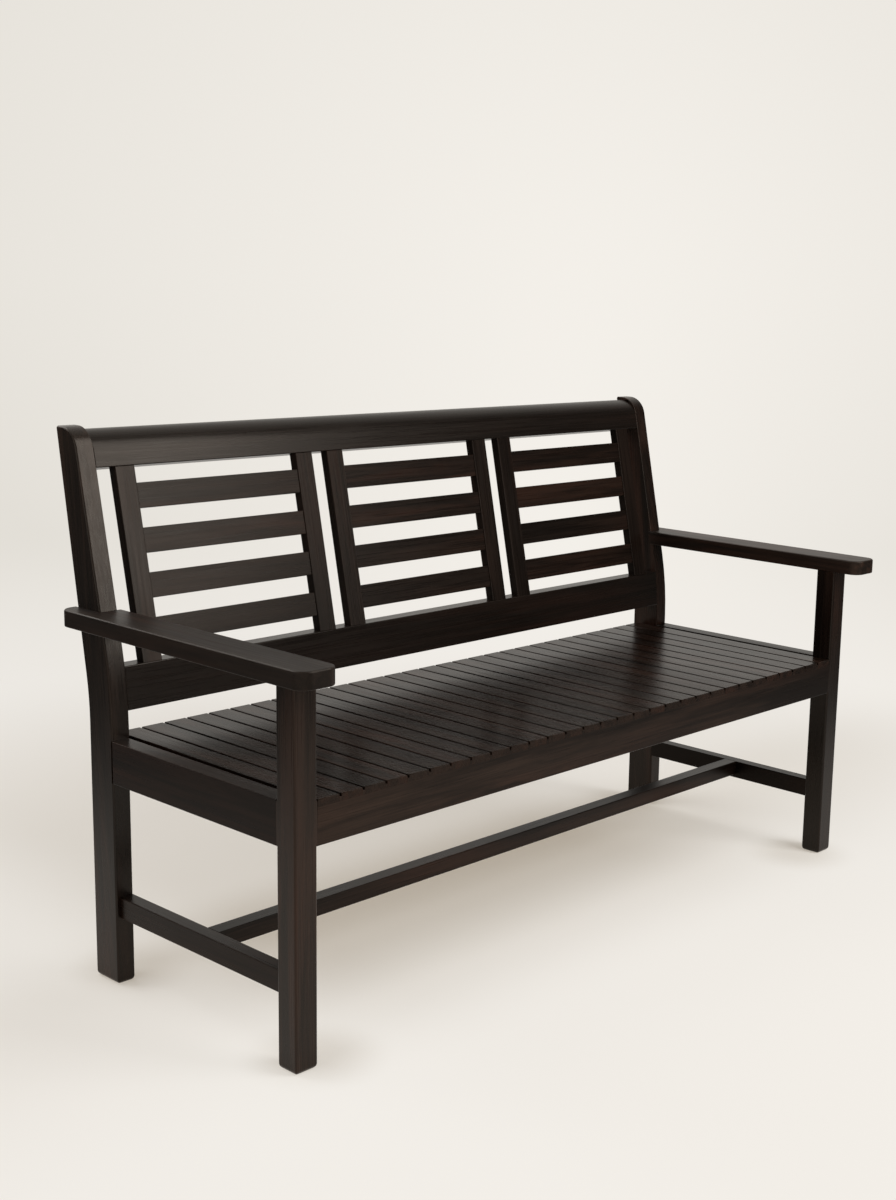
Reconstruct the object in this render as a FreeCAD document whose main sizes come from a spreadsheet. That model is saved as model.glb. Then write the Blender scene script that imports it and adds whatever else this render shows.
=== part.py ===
import FreeCAD, Part
import os
import re
import Sketcher

# A three-seat garden bench of stained hardwood, in millimetres. Seen from the front, X runs along the
# bench to the right, Y runs away towards the back and Z is up. The sketches count Y from the front of
# the legs, and every sub-part is then set back so that the origin is on the floor under the middle.

Vector = FreeCAD.Vector
doc = FreeCAD.newDocument("bench")

# Driving dimensions: name, value, what it is
SIZES = [
    ("frame_length", 1440, "outer face to outer face of the legs"),
    ("seat_height", 417, "floor to the top of the seat"),
    ("leg_width", 42, "front leg along the bench"),
    ("leg_depth", 42, "front leg front to back"),
    ("post_width", 33, "rear post along the bench"),
    ("post_depth", 64, "rear post front to back, below the bend"),
    ("post_setback", 457, "front of the legs to the front of the posts"),
    ("back_rise", 497, "seat top to the flat top of the posts"),
    ("bend_rise", 87, "seat top to where the two front lines of a post would cross"),
    ("bend_radius", 666, "front of the post at the bend"),
    ("rake_angle", 12, "lean of the back in degrees"),
    ("post_rear_bend_rise", 61, "seat top to where the two rear lines of a post would cross"),
    ("post_rear_bend_radius", 480, "rear of the post at the bend"),
    ("post_rear_angle", 9.4, "lean of the post's rear edge in degrees"),
    ("post_top_radius", 42, "rounded top front of a post"),
    ("leg_edge_radius", 3.5, "softened corners of legs and posts"),
    ("foot_chamfer", 2.8, "bevel round each foot"),
    ("arm_rise", 180, "seat top to the underside of an arm"),
    ("arm_thickness", 28, "arm board"),
    ("arm_overhang", 30, "arm past the outer face of the leg"),
    ("arm_front_reach", 53, "arm past the front of the leg"),
    ("arm_rear_reach", 73, "arm past the front of the post at its own level"),
    ("arm_corner_radius", 22, "arm corners seen from above"),
    ("arm_edge_radius", 3, "top edges of an arm"),
    ("arm_edge_bevel", 1.5, "lower edges of an arm"),
    ("arm_tenon_size", 22, "square stub tenon on a front leg"),
    ("arm_tenon_length", 18, "stub tenon into the arm"),
    ("dowel_radius", 5, "dowel between arm and post"),
    ("dowel_length", 50, "dowel between arm and post"),
    ("bore_clearance", 0.15, "round a dowel or a screw"),
    ("seat_rail_height", 71, "side seat rail, top to bottom"),
    ("front_rail_thickness", 30, "front seat rail"),
    ("rear_rail_thickness", 28, "rear seat rail"),
    ("rear_rail_inset", 18, "front of the post to the front of the rear rail"),
    ("rail_edge_radius", 1.5, "rounded long edges of the back's rails"),
    ("rail_edge_bevel", 1.2, "bevelled long edges of seat rails and stretchers"),
    ("tenon_thickness", 10, "tenons of rails, stretchers and stiles"),
    ("tenon_shoulder", 12, "from a rail's lower edge to its tenon"),
    ("seat_tenon_height", 40, "tenons of the seat rails"),
    ("side_tenon_length", 22, "side rail tenons"),
    ("cross_tenon_length", 18, "tenons of the rails along the bench"),
    ("mortise_slack", 1, "glue room at the end of a mortise"),
    ("slat_count", 30, "seat slats"),
    ("slat_gap", 4.5, "groove between seat slats"),
    ("slat_thickness", 12, "seat slat"),
    ("slat_edge_bevel", 1, "top edges of a seat slat"),
    ("groove_depth", 5, "seat top to the rail between two slats"),
    ("housing_clearance", 0.3, "each side of a slat in its housing"),
    ("end_slat_clearance", 1, "outer slat to the front leg"),
    ("bearer_width", 45, "bearer front to back"),
    ("bearer_height", 22, "bearer top to bottom"),
    ("bearer_tenon_width", 30, "bearer tenon"),
    ("bearer_tenon_length", 12, "bearer tenon into the side rail"),
    ("screw_radius", 2, "slat screw shank"),
    ("screw_head_radius", 4, "slat screw head"),
    ("screw_head_height", 3, "slat screw head"),
    ("screw_bite", 8, "slat screw into the slat"),
    ("stretcher_top", 151, "floor to the top of the stretchers"),
    ("stretcher_height", 36.5, "side stretcher"),
    ("stretcher_thickness", 25, "side stretcher"),
    ("stretcher_tenon_height", 24, "side stretcher tenon"),
    ("centre_stretcher_height", 29, "centre stretcher"),
    ("centre_stretcher_depth", 30, "centre stretcher front to back"),
    ("centre_stretcher_setback", 225, "front of the legs to the centre stretcher"),
    ("centre_tenon_height", 16, "centre stretcher tenon"),
    ("centre_tenon_length", 12, "centre stretcher tenon"),
    ("crest_thickness", 44, "crest rail front to back"),
    ("crest_drop", 6, "crest rail below the tops of the posts"),
    ("crest_height", 60, "crest rail along the rake"),
    ("crest_back_radius", 9, "rounded top rear edge of the crest rail"),
    ("crest_tenon_height", 36, "crest rail tenon"),
    ("lower_rail_height", 72.5, "front face of the lower back rail"),
    ("lower_rail_drop", 41, "bend to the lower edge of the lower back rail"),
    ("lower_rail_thickness", 30, "lower back rail"),
    ("lower_rail_inset", 0.7, "bend of the post to the lower rail's face"),
    ("lower_tenon_height", 44, "lower back rail tenon"),
    ("stile_gap", 35.25, "opening between a post and a stile, and between two stiles"),
    ("stile_width", 37, "back stile along the bench"),
    ("stile_thickness", 18, "back stile"),
    ("stile_recess", 1.5, "front of the back to a stile"),
    ("stile_tenon_width", 25, "stile tenon"),
    ("stile_tenon_length", 18, "stile tenon into each rail"),
    ("back_slat_height", 42, "back slat"),
    ("back_slat_thickness", 13, "back slat"),
    ("back_slat_recess", 2, "front of a stile to a back slat"),
    ("back_slat_end_gap", 28.5, "opening above and below the slats of a panel"),
    ("back_slat_least_gap", 30, "least opening between two back slats"),
    ("back_slat_bite", 8, "back slat into a stile"),
    ("back_edge_bevel", 1, "bevelled edges of the stiles"),
]

# Places worked out from the driving dimensions
PLACES = [
    ("post_height", "seat_height + back_rise"),
    ("bend_height", "seat_height + bend_rise"),
    ("post_rear_bend_height", "seat_height + post_rear_bend_rise"),
    ("arm_underside", "seat_height + arm_rise"),
    ("leg_face", "frame_length / 2"),
    ("leg_inner", "leg_face - leg_width"),
    ("post_inner", "leg_face - post_width"),
    ("post_back", "post_setback + post_depth"),
    ("post_middle", "leg_face - post_width / 2"),
    ("post_top_front", "post_setback + (post_height - bend_height) * tan(rake_angle)"),
    ("post_top_back", "post_back + (post_height - post_rear_bend_height) * tan(post_rear_angle)"),
    ("rail_bottom", "seat_height - seat_rail_height"),
    ("seat_tenon_bottom", "rail_bottom + tenon_shoulder"),
    ("seat_tenon_top", "seat_tenon_bottom + seat_tenon_height"),
    ("slat_bottom", "seat_height - slat_thickness"),
    ("comb_top", "seat_height - groove_depth"),
    ("rear_rail_front", "post_setback + rear_rail_inset"),
    ("slat_length", "rear_rail_front + rear_rail_thickness"),
    ("front_tenon_front", "(front_rail_thickness - tenon_thickness) / 2"),
    ("rear_tenon_front", "rear_rail_front + (rear_rail_thickness - tenon_thickness) / 2"),
    ("seat_half", "leg_inner - end_slat_clearance"),
    ("slat_pitch", "(2 * seat_half + slat_gap) / slat_count"),
    ("slat_width", "slat_pitch - slat_gap"),
    ("bearer_front", "(slat_length - bearer_width) / 2"),
    ("bearer_bottom", "slat_bottom - bearer_height"),
    ("bearer_tenon_front", "(slat_length - bearer_tenon_width) / 2"),
    ("bearer_tenon_bottom", "bearer_bottom + (bearer_height - tenon_thickness) / 2"),
    ("first_screw", "slat_width / 2 - seat_half"),
    ("corner_share", "sqrt(2) - 1"),
    ("stretcher_bottom", "stretcher_top - stretcher_height"),
    ("stretcher_outer", "post_inner + stretcher_thickness"),
    ("stretcher_middle", "post_inner + stretcher_thickness / 2"),
    ("stretcher_tenon_bottom", "stretcher_bottom + (stretcher_height - stretcher_tenon_height) / 2"),
    ("centre_bottom", "stretcher_top - centre_stretcher_height"),
    ("centre_tenon_bottom", "centre_bottom + (centre_stretcher_height - centre_tenon_height) / 2"),
    ("centre_tenon_front",
     "centre_stretcher_setback + (centre_stretcher_depth - tenon_thickness) / 2"),
    ("arm_top", "arm_underside + arm_thickness"),
    ("arm_middle", "arm_underside + arm_thickness / 2"),
    ("arm_outer", "leg_face + arm_overhang"),
    ("arm_tenon_inner", "leg_inner + (leg_width - arm_tenon_size) / 2"),
    ("arm_tenon_front", "(leg_depth - arm_tenon_size) / 2"),
    ("arm_seat", "post_setback + (arm_middle - bend_height) * tan(rake_angle)"),
    ("arm_end", "arm_seat + arm_rear_reach"),
    ("set_forward", "(post_top_back - arm_front_reach) / 2"),
    # The rest is in the frame of the back, which starts at the bend and leans with the rake
    ("half_rake", "rake_angle / 2"),
    ("bend_set", "bend_radius * (1 / cos(half_rake) - 1) + lower_rail_inset"),
    ("crest_top", "(post_height - crest_drop - bend_height) / cos(rake_angle)"),
    ("crest_rise", "crest_top - crest_height"),
    ("crest_top_back", "crest_top + crest_thickness * tan(rake_angle)"),
    ("crest_tenon_front", "(crest_thickness - tenon_thickness) / 2"),
    ("crest_tenon_bottom", "crest_rise + tenon_shoulder"),
    ("lower_rail_lift", "lower_rail_height - lower_rail_drop"),
    ("lower_top_front_y", "bend_set * cos(half_rake) - lower_rail_lift * sin(half_rake)"),
    ("lower_top_front_z", "bend_set * sin(half_rake) + lower_rail_lift * cos(half_rake)"),
    ("lower_bottom_front_y", "bend_set * cos(half_rake) + lower_rail_drop * sin(half_rake)"),
    ("lower_bottom_front_z", "bend_set * sin(half_rake) - lower_rail_drop * cos(half_rake)"),
    ("lower_bottom_back_y", "lower_bottom_front_y + lower_rail_thickness * cos(half_rake)"),
    ("lower_bottom_back_z", "lower_bottom_front_z + lower_rail_thickness * sin(half_rake)"),
    ("lower_top_run", "lower_rail_thickness / cos(half_rake)"),
    ("lower_top_back_y", "lower_top_front_y + lower_top_run * cos(rake_angle)"),
    ("lower_top_back_z", "lower_top_front_z + lower_top_run * sin(rake_angle)"),
    ("lower_tenon_front",
     "(lower_top_front_y + lower_bottom_back_y) / 2 - tenon_thickness / 2"),
    ("lower_tenon_bottom",
     "(lower_top_front_z + lower_bottom_back_z) / 2 - lower_tenon_height / 2"),
    ("stile_back", "stile_recess + stile_thickness"),
    ("stile_foot_front", "lower_top_front_z + (stile_recess - lower_top_front_y) * tan(rake_angle)"),
    ("stile_foot_back", "lower_top_front_z + (stile_back - lower_top_front_y) * tan(rake_angle)"),
    ("stile_tenon_front", "stile_recess + (stile_thickness - tenon_thickness) / 2"),
    ("stile_tenon_inset", "(stile_width - stile_tenon_width) / 2"),
    ("panel_width", "(2 * post_inner - 4 * stile_gap - 6 * stile_width) / 3"),
    ("panel_pitch", "panel_width + 2 * stile_width + stile_gap"),
    ("back_slat_front", "stile_recess + back_slat_recess"),
    ("back_slat_back", "back_slat_front + back_slat_thickness"),
    ("panel_foot", "lower_top_front_z + (back_slat_front - lower_top_front_y) * tan(rake_angle)"),
    ("back_slat_rise", "panel_foot + back_slat_end_gap"),
    ("back_slat_room", "crest_rise - back_slat_end_gap - back_slat_rise"),
    ("back_slat_count",
     "max(2; floor((back_slat_room + back_slat_least_gap) / (back_slat_height + back_slat_least_gap)))"),
    ("back_slat_pitch", "(back_slat_room - back_slat_height) / (back_slat_count - 1)"),
]

aliases = {}


# Helpers for sheets, sketches and features
def bound(formula):
    """Write a formula of plain names as an expression that reads the two sheets."""
    return re.sub(r"[a-z_]\w*", lambda word: aliases.get(word.group(), word.group()), str(formula))


def make_sheet(name, rows):
    """Make a sheet whose column A holds the values and column B what they are."""
    sheet = doc.addObject("Spreadsheet::Sheet", name)
    for row, (alias, content, note) in enumerate(rows, start=1):
        cell = "A%d" % row
        text = "=" + bound(content) if isinstance(content, str) else str(content)
        sheet.set(cell, text)
        sheet.setAlias(cell, alias)
        sheet.set("B%d" % row, "'" + note)
        aliases[alias] = "%s.%s" % (name, alias)
    doc.recompute()
    return sheet


sizes = make_sheet("sizes", SIZES)
places = make_sheet("places", [(alias, formula, "worked out") for alias, formula in PLACES])


def value(formula):
    """Work out a formula of plain names as a number."""
    return float(sizes.evalExpression(bound(formula)))


def new_body(label):
    """Start a sub-part that stands in the frame of the bench."""
    body = doc.addObject("PartDesign::Body", label)
    body.Label = label
    body.AllowCompound = True
    body.Placement = FreeCAD.Placement(Vector(0, -value("set_forward"), 0), FreeCAD.Rotation())
    body.setExpression("Placement.Base.y", bound("-set_forward"))
    return body


def lean_back(body):
    """Stand a sub-part in the frame of the back: Z runs up the rake, Y goes through the back."""
    rake = FreeCAD.Rotation(Vector(-1, 0, 0), value("rake_angle"))
    corner = Vector(0, value("post_setback - set_forward"), value("bend_height"))
    body.Placement = FreeCAD.Placement(corner, rake)
    body.setExpression("Placement.Base.y", bound("post_setback - set_forward"))
    body.setExpression("Placement.Base.z", bound("bend_height"))
    body.setExpression("Placement.Rotation.Angle", bound("rake_angle"))
    return body


def origin_feature(body, role):
    """Find one of a body's own origin planes or axes."""
    return next(item for item in body.Origin.OriginFeatures if item.Role == role)


def new_sketch(body, name, role, offset):
    """Attach an empty sketch to an origin plane, moved along the plane's normal."""
    sketch = body.newObject("Sketcher::SketchObject", name)
    sketch.AttachmentSupport = (origin_feature(body, role), [""])
    sketch.MapMode = "FlatFace"
    sketch.AttachmentOffset = FreeCAD.Placement(Vector(0, 0, value(offset)), FreeCAD.Rotation())
    sketch.setExpression("AttachmentOffset.Base.z", bound(offset))
    return sketch


def pin_point(sketch, index, end, across, along):
    """Hold one point of a sketch at two measured distances from its origin."""
    for kind, formula in (("DistanceX", across), ("DistanceY", along)):
        row = sketch.addConstraint(Sketcher.Constraint(kind, -1, 1, index, end, value(formula)))
        sketch.setExpression("Constraints[%d]" % row, bound(formula))


def outline(body, name, role, offset, points):
    """Draw a closed outline of straight lines through points given as pairs of formulas."""
    sketch = new_sketch(body, name, role, offset)
    corners = [Vector(value(across), value(along), 0) for across, along in points]
    for start, end in zip(corners, corners[1:] + corners[:1]):
        sketch.addGeometry(Part.LineSegment(start, end), False)
    for index in range(len(corners)):
        following = (index + 1) % len(corners)
        sketch.addConstraint(Sketcher.Constraint("Coincident", index, 2, following, 1))
    for index, (across, along) in enumerate(points):
        pin_point(sketch, index, 1, across, along)
    return sketch


def circle(body, name, role, offset, across, along, radius):
    """Draw a circle whose centre and radius are given as formulas."""
    sketch = new_sketch(body, name, role, offset)
    centre = Vector(value(across), value(along), 0)
    sketch.addGeometry(Part.Circle(centre, Vector(0, 0, 1), value(radius)), False)
    pin_point(sketch, 0, 3, across, along)
    row = sketch.addConstraint(Sketcher.Constraint("Radius", 0, value(radius)))
    sketch.setExpression("Constraints[%d]" % row, bound(radius))
    return sketch


def eight_sides(body, name, offset, across, along, radius):
    """Draw an eight-sided outline round an upright axis, for bores and shanks too small to need a circle."""
    corner = "(%s) * corner_share" % radius
    turns = [(1, 0), (0, 1), (-1, 0), (0, -1)]
    points = []
    for out_x, out_y in turns:
        for back in (-1, 1):
            step_x = "%+d * (%s) %+d * %s" % (out_x, radius, -out_y * back, corner)
            step_y = "%+d * (%s) %+d * %s" % (out_y, radius, out_x * back, corner)
            points.append(("%s %s" % (across, step_x), "%s %s" % (along, step_y)))
    return outline(body, name, "XY_Plane", offset, points)


def settle(feature):
    """Rebuild after a new feature and stop when it fails."""
    doc.recompute()
    if not feature.isValid() or not feature.Shape.isValid():
        raise RuntimeError("%s does not build" % feature.Name)
    return feature


def pad(body, sketch, length):
    """Raise a sketch into wood along its normal."""
    feature = body.newObject("PartDesign::Pad", sketch.Name + "_pad")
    feature.Profile = sketch
    feature.setExpression("Length", bound(length))
    return settle(feature)


def cut(body, sketch, length):
    """Cut a sketch out of the wood along its normal, and make sure that wood goes."""
    before = body.Shape.Volume
    feature = body.newObject("PartDesign::Pocket", sketch.Name + "_cut")
    feature.Profile = sketch
    feature.Reversed = True
    feature.setExpression("Length", bound(length))
    settle(feature)
    if body.Shape.Volume >= before:
        raise RuntimeError("%s cuts nothing out of %s" % (sketch.Name, body.Label))
    return feature


def corners_of(low_high_x, low_high_y):
    """List the four corners of an upright rectangle as pairs of formulas."""
    (left, right), (front, back) = low_high_x, low_high_y
    return [(left, front), (right, front), (right, back), (left, back)]


def block(body, name, along, through, upward):
    """Add a square-edged block given by its ranges in X, Y and Z."""
    sketch = outline(body, name, "XY_Plane", upward[0], corners_of(along, through))
    return pad(body, sketch, "(%s) - (%s)" % (upward[1], upward[0]))


def hollow(body, name, along, through, upward):
    """Cut a square-edged hollow given by its ranges in X, Y and Z."""
    sketch = outline(body, name, "XY_Plane", upward[0], corners_of(along, through))
    return cut(body, sketch, "(%s) - (%s)" % (upward[1], upward[0]))


def on_side(side, inner, outer):
    """Order a range of X that lies on the left (-1) or the right (+1) of the bench."""
    if side > 0:
        return (inner, outer)
    return ("-(%s)" % outer, "-(%s)" % inner)


def pattern(body, features, role, count, length):
    """Repeat features in a row along one of the body's axes."""
    row = body.newObject("PartDesign::LinearPattern", features[0].Name + "_row")
    row.Originals = features
    row.Direction = (origin_feature(body, role), [""])
    row.setExpression("Length", bound(length))
    row.setExpression("Occurrences", bound(count))
    body.Tip = row
    return settle(row)


def ease(body, kind, name, radius, chosen):
    """Round or bevel the edges of the last feature that a test chooses."""
    base = body.Tip
    names = ["Edge%d" % number for number, edge in enumerate(base.Shape.Edges, start=1) if chosen(edge)]
    if not names:
        raise RuntimeError("%s finds no edge on %s" % (name, body.Label))
    feature = body.newObject("PartDesign::" + kind, name)
    feature.Base = (base, names)
    feature.setExpression("Radius" if kind == "Fillet" else "Size", bound(radius))
    return settle(feature)


def at_line(**held):
    """Make a test for edges that lie wholly at given places of x, y or z."""
    near = value("bore_clearance / 10")
    pins = [("xyz".index(axis), value(place)) for axis, place in held.items()]
    return lambda edge: all(abs(vertex.Point[axis] - place) < near
                            for vertex in edge.Vertexes for axis, place in pins)


def any_of(*tests):
    """Join tests so that an edge passes when one of them chooses it."""
    return lambda edge: any(test(edge) for test in tests)


def back_point(through, up):
    """Carry a point of the leaning frame of the back into the upright frame of the bench."""
    across = "post_setback + (%s) * cos(rake_angle) + (%s) * sin(rake_angle)" % (through, up)
    height = "bend_height - (%s) * sin(rake_angle) + (%s) * cos(rake_angle)" % (through, up)
    return (across, height)


def side_mortise(body, name, side, front, bottom, height):
    """Cut a leaning mortise for a rail of the back into the inner face of a rear post."""
    top = "%s + %s" % (bottom, height)
    back = front + " + tenon_thickness"
    points = [back_point(front, bottom), back_point(back, bottom), back_point(back, top),
              back_point(front, top)]
    start = on_side(side, "post_inner", "post_inner + cross_tenon_length + mortise_slack")[0]
    sketch = outline(body, name, "YZ_Plane", start, points)
    cut(body, sketch, "cross_tenon_length + mortise_slack")


def mid_mortise(body, name, middle, face, reach, upward):
    """Cut a mortise for a side rail or side stretcher, centred on a plane of X, inwards from a face at Y."""
    width = ("(%s) - tenon_thickness / 2" % middle, "(%s) + tenon_thickness / 2" % middle)
    if reach < 0:
        through = (face + " - side_tenon_length - mortise_slack", face)
    else:
        through = (face, face + " + side_tenon_length + mortise_slack")
    hollow(body, name, width, through, upward)


# Height ranges of the tenons that several timbers share
SEAT_TENON = ("seat_tenon_bottom", "seat_tenon_top")
STRETCHER_TENON = ("stretcher_tenon_bottom", "stretcher_tenon_bottom + stretcher_tenon_height")


# Front legs: square, softened, with a stub tenon under the arm
def make_front_leg(side, word):
    body = new_body("front_leg_" + word)
    width = on_side(side, "leg_inner", "leg_face")
    depth = ("0", "leg_depth")
    sign = "" if side > 0 else "-"
    block(body, "leg_below", width, depth, ("0", "rail_bottom"))
    block(body, "leg_above", width, depth, ("seat_height", "arm_underside"))
    ease(body, "Fillet", "leg_edges", "leg_edge_radius",
         any_of(at_line(x=sign + "leg_inner", y="0"), at_line(x=sign + "leg_inner", y="leg_depth"),
                at_line(x=sign + "leg_face", y="leg_depth")))
    # Between them the corners stay square where the seat rails meet the leg flush
    block(body, "leg_joint", width, depth, ("rail_bottom", "seat_height"))
    ease(body, "Fillet", "leg_front_edge", "leg_edge_radius", at_line(x=sign + "leg_face", y="0"))
    ease(body, "Chamfer", "leg_foot", "foot_chamfer", at_line(z="0"))
    block(body, "leg_stub", on_side(side, "arm_tenon_inner", "arm_tenon_inner + arm_tenon_size"),
          ("arm_tenon_front", "arm_tenon_front + arm_tenon_size"),
          ("arm_underside", "arm_underside + arm_tenon_length"))
    hollow(body, "leg_front_mortise",
           on_side(side, "leg_inner", "leg_inner + cross_tenon_length + mortise_slack"),
           ("front_tenon_front", "front_tenon_front + tenon_thickness"), SEAT_TENON)
    mid_mortise(body, "leg_side_mortise", sign + "post_middle", "leg_depth", -1, SEAT_TENON)
    mid_mortise(body, "leg_stretcher_mortise", sign + "stretcher_middle", "leg_depth", -1,
                STRETCHER_TENON)
    return body


# Rear posts: straight to the seat, bent and raked above it, tapered, with a rounded top
def make_rear_post(side, word):
    body = new_body("rear_post_" + word)
    width = on_side(side, "post_inner", "leg_face")
    sign = "" if side > 0 else "-"
    block(body, "post_below", width, ("post_setback", "post_back"), ("0", "rail_bottom"))
    ease(body, "Fillet", "post_lower_edges", "leg_edge_radius",
         any_of(at_line(x=sign + "post_inner", y="post_setback"),
                at_line(x=sign + "leg_face", y="post_setback")))
    profile = outline(body, "post_above", "YZ_Plane", width[0], [
        ("post_setback", "seat_height"),
        ("post_setback", "bend_height"),
        ("post_top_front", "post_height"),
        ("post_top_back", "post_height"),
        ("post_back", "post_rear_bend_height"),
        ("post_back", "seat_height"),
    ])
    pad(body, profile, "post_width")
    ease(body, "Fillet", "post_front_bend", "bend_radius", at_line(y="post_setback", z="bend_height"))
    ease(body, "Fillet", "post_rear_bend", "post_rear_bend_radius",
         at_line(y="post_back", z="post_rear_bend_height"))
    ease(body, "Fillet", "post_top", "post_top_radius", at_line(y="post_top_front", z="post_height"))
    ease(body, "Fillet", "post_outer_edge", "leg_edge_radius",
         at_line(x=sign + "leg_face", y="post_setback"))
    # Between them the front corners stay square where the side rail meets the post flush
    block(body, "post_joint", width, ("post_setback", "post_back"), ("rail_bottom", "seat_height"))
    ease(body, "Fillet", "post_rear_edges", "leg_edge_radius",
         any_of(at_line(x=sign + "post_inner", y="post_back"), at_line(x=sign + "leg_face", y="post_back"),
                at_line(y="post_top_back", z="post_height")))
    ease(body, "Chamfer", "post_foot", "foot_chamfer", at_line(z="0"))
    mid_mortise(body, "post_side_mortise", sign + "post_middle", "post_setback", 1, SEAT_TENON)
    mid_mortise(body, "post_stretcher_mortise", sign + "stretcher_middle", "post_setback", 1,
                STRETCHER_TENON)
    hollow(body, "post_rear_mortise",
           on_side(side, "post_inner", "post_inner + cross_tenon_length + mortise_slack"),
           ("rear_tenon_front", "rear_tenon_front + tenon_thickness"), SEAT_TENON)
    side_mortise(body, "post_crest_mortise", side, "crest_tenon_front", "crest_tenon_bottom",
                 "crest_tenon_height")
    side_mortise(body, "post_lower_mortise", side, "lower_tenon_front", "lower_tenon_bottom",
                 "lower_tenon_height")
    bore = dowel_sketch(body, "post_dowel_bore", side, "dowel_radius + bore_clearance",
                        "arm_seat + dowel_length / 2 + mortise_slack")
    cut(body, bore, "dowel_length / 2 + mortise_slack + arm_thickness * tan(rake_angle)")
    return body


def dowel_sketch(body, name, side, radius, back):
    """Draw the round section of an arm dowel on a plane across it, at its rear end."""
    middle = "post_middle" if side > 0 else "-post_middle"
    return circle(body, name, "XZ_Plane", "-(%s)" % back, middle, "arm_middle", radius)


# Arms: a flat board with rounded corners, notched round the outside of the post
def make_arm(side, word):
    body = new_body("arm_" + word)
    width = on_side(side, "leg_inner", "arm_outer")
    block(body, "arm_board", width, ("-arm_front_reach", "arm_end"), ("arm_underside", "arm_top"))
    outer = "arm_outer" if side > 0 else "-arm_outer"
    inner = "leg_inner" if side > 0 else "-leg_inner"
    rounded = any_of(at_line(x=outer, y="-arm_front_reach"), at_line(x=inner, y="-arm_front_reach"),
                     at_line(x=outer, y="arm_end"))
    ease(body, "Fillet", "arm_corners", "arm_corner_radius", rounded)
    ease(body, "Fillet", "arm_top_edges", "arm_edge_radius", at_line(z="arm_top"))
    ease(body, "Chamfer", "arm_lower_edges", "arm_edge_bevel", at_line(z="arm_underside"))
    # The notch follows the rake of the post's front and stays open towards the seat
    lean = "(%s) * tan(rake_angle)"
    low = "post_setback + " + lean % "arm_underside - arm_thickness - bend_height"
    high = "post_setback + " + lean % "arm_top + arm_thickness - bend_height"
    start, end = on_side(side, "leg_inner - leg_width", "leg_face")
    notch = outline(body, "arm_notch", "YZ_Plane", start, [
        (low, "arm_underside - arm_thickness"),
        ("arm_end + arm_thickness", "arm_underside - arm_thickness"),
        ("arm_end + arm_thickness", "arm_top + arm_thickness"),
        (high, "arm_top + arm_thickness"),
    ])
    cut(body, notch, "(%s) - (%s)" % (end, start))
    hollow(body, "arm_leg_mortise", on_side(side, "arm_tenon_inner", "arm_tenon_inner + arm_tenon_size"),
           ("arm_tenon_front", "arm_tenon_front + arm_tenon_size"),
           ("arm_underside", "arm_underside + arm_tenon_length + mortise_slack"))
    bore = dowel_sketch(body, "arm_dowel_bore", side, "dowel_radius + bore_clearance",
                        "arm_seat + arm_thickness * tan(rake_angle)")
    cut(body, bore, "dowel_length / 2 + mortise_slack + arm_thickness * tan(rake_angle)")
    return body


def make_arm_dowels():
    body = new_body("arm_dowels")
    for side, word in ((-1, "left"), (1, "right")):
        rod = dowel_sketch(body, "dowel_" + word, side, "dowel_radius", "arm_seat + dowel_length / 2")
        pad(body, rod, "dowel_length")
    return body


# Seat rails
def make_side_rail(side, word):
    body = new_body("side_seat_rail_" + word)
    width = on_side(side, "post_inner", "leg_face")
    block(body, "side_rail", width, ("leg_depth", "post_setback"), ("rail_bottom", "seat_height"))
    outer = "leg_face" if side > 0 else "-leg_face"
    inner = "post_inner" if side > 0 else "-post_inner"
    long_edges = any_of(at_line(x=outer, z="seat_height"), at_line(x=inner, z="seat_height"),
                        at_line(x=outer, z="rail_bottom"), at_line(x=inner, z="rail_bottom"))
    ease(body, "Chamfer", "side_rail_edges", "rail_edge_bevel", long_edges)
    block(body, "side_rail_tenons",
          on_side(side, "post_middle - tenon_thickness / 2", "post_middle + tenon_thickness / 2"),
          ("leg_depth - side_tenon_length", "post_setback + side_tenon_length"), SEAT_TENON)
    hollow(body, "side_rail_bearer_mortise",
           on_side(side, "post_inner", "post_inner + bearer_tenon_length + mortise_slack"),
           ("bearer_tenon_front", "bearer_tenon_front + bearer_tenon_width"),
           ("bearer_tenon_bottom", "bearer_tenon_bottom + tenon_thickness"))
    return body


def make_comb(body, name, front, back):
    """Cut a row of housings for the seat slats into the top of a rail."""
    first = ("-seat_half - housing_clearance", "slat_width + housing_clearance - seat_half")
    housing = hollow(body, name, first, (front, back), ("slat_bottom", "seat_height"))
    pattern(body, [housing], "X_Axis", "slat_count", "slat_pitch * (slat_count - 1)")


def make_front_rail():
    body = new_body("front_seat_rail")
    block(body, "front_rail", ("-leg_inner", "leg_inner"), ("0", "front_rail_thickness"),
          ("rail_bottom", "comb_top"))
    long_edges = any_of(at_line(y="0", z="rail_bottom"), at_line(y="front_rail_thickness", z="rail_bottom"))
    ease(body, "Chamfer", "front_rail_edges", "rail_edge_bevel", long_edges)
    block(body, "front_rail_tenons", ("-leg_inner - cross_tenon_length", "leg_inner + cross_tenon_length"),
          ("front_tenon_front", "front_tenon_front + tenon_thickness"), SEAT_TENON)
    make_comb(body, "front_rail_comb", "0", "front_rail_thickness")
    return body


def make_rear_rail():
    body = new_body("rear_seat_rail")
    block(body, "rear_rail", ("-post_inner", "post_inner"), ("rear_rail_front", "slat_length"),
          ("rail_bottom", "comb_top"))
    long_edges = any_of(at_line(y="rear_rail_front", z="rail_bottom"),
                        at_line(y="slat_length", z="rail_bottom"))
    ease(body, "Chamfer", "rear_rail_edges", "rail_edge_bevel", long_edges)
    block(body, "rear_rail_tenons", ("-post_inner - cross_tenon_length", "post_inner + cross_tenon_length"),
          ("rear_tenon_front", "rear_tenon_front + tenon_thickness"), SEAT_TENON)
    make_comb(body, "rear_rail_comb", "rear_rail_front", "slat_length")
    return body


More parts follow.
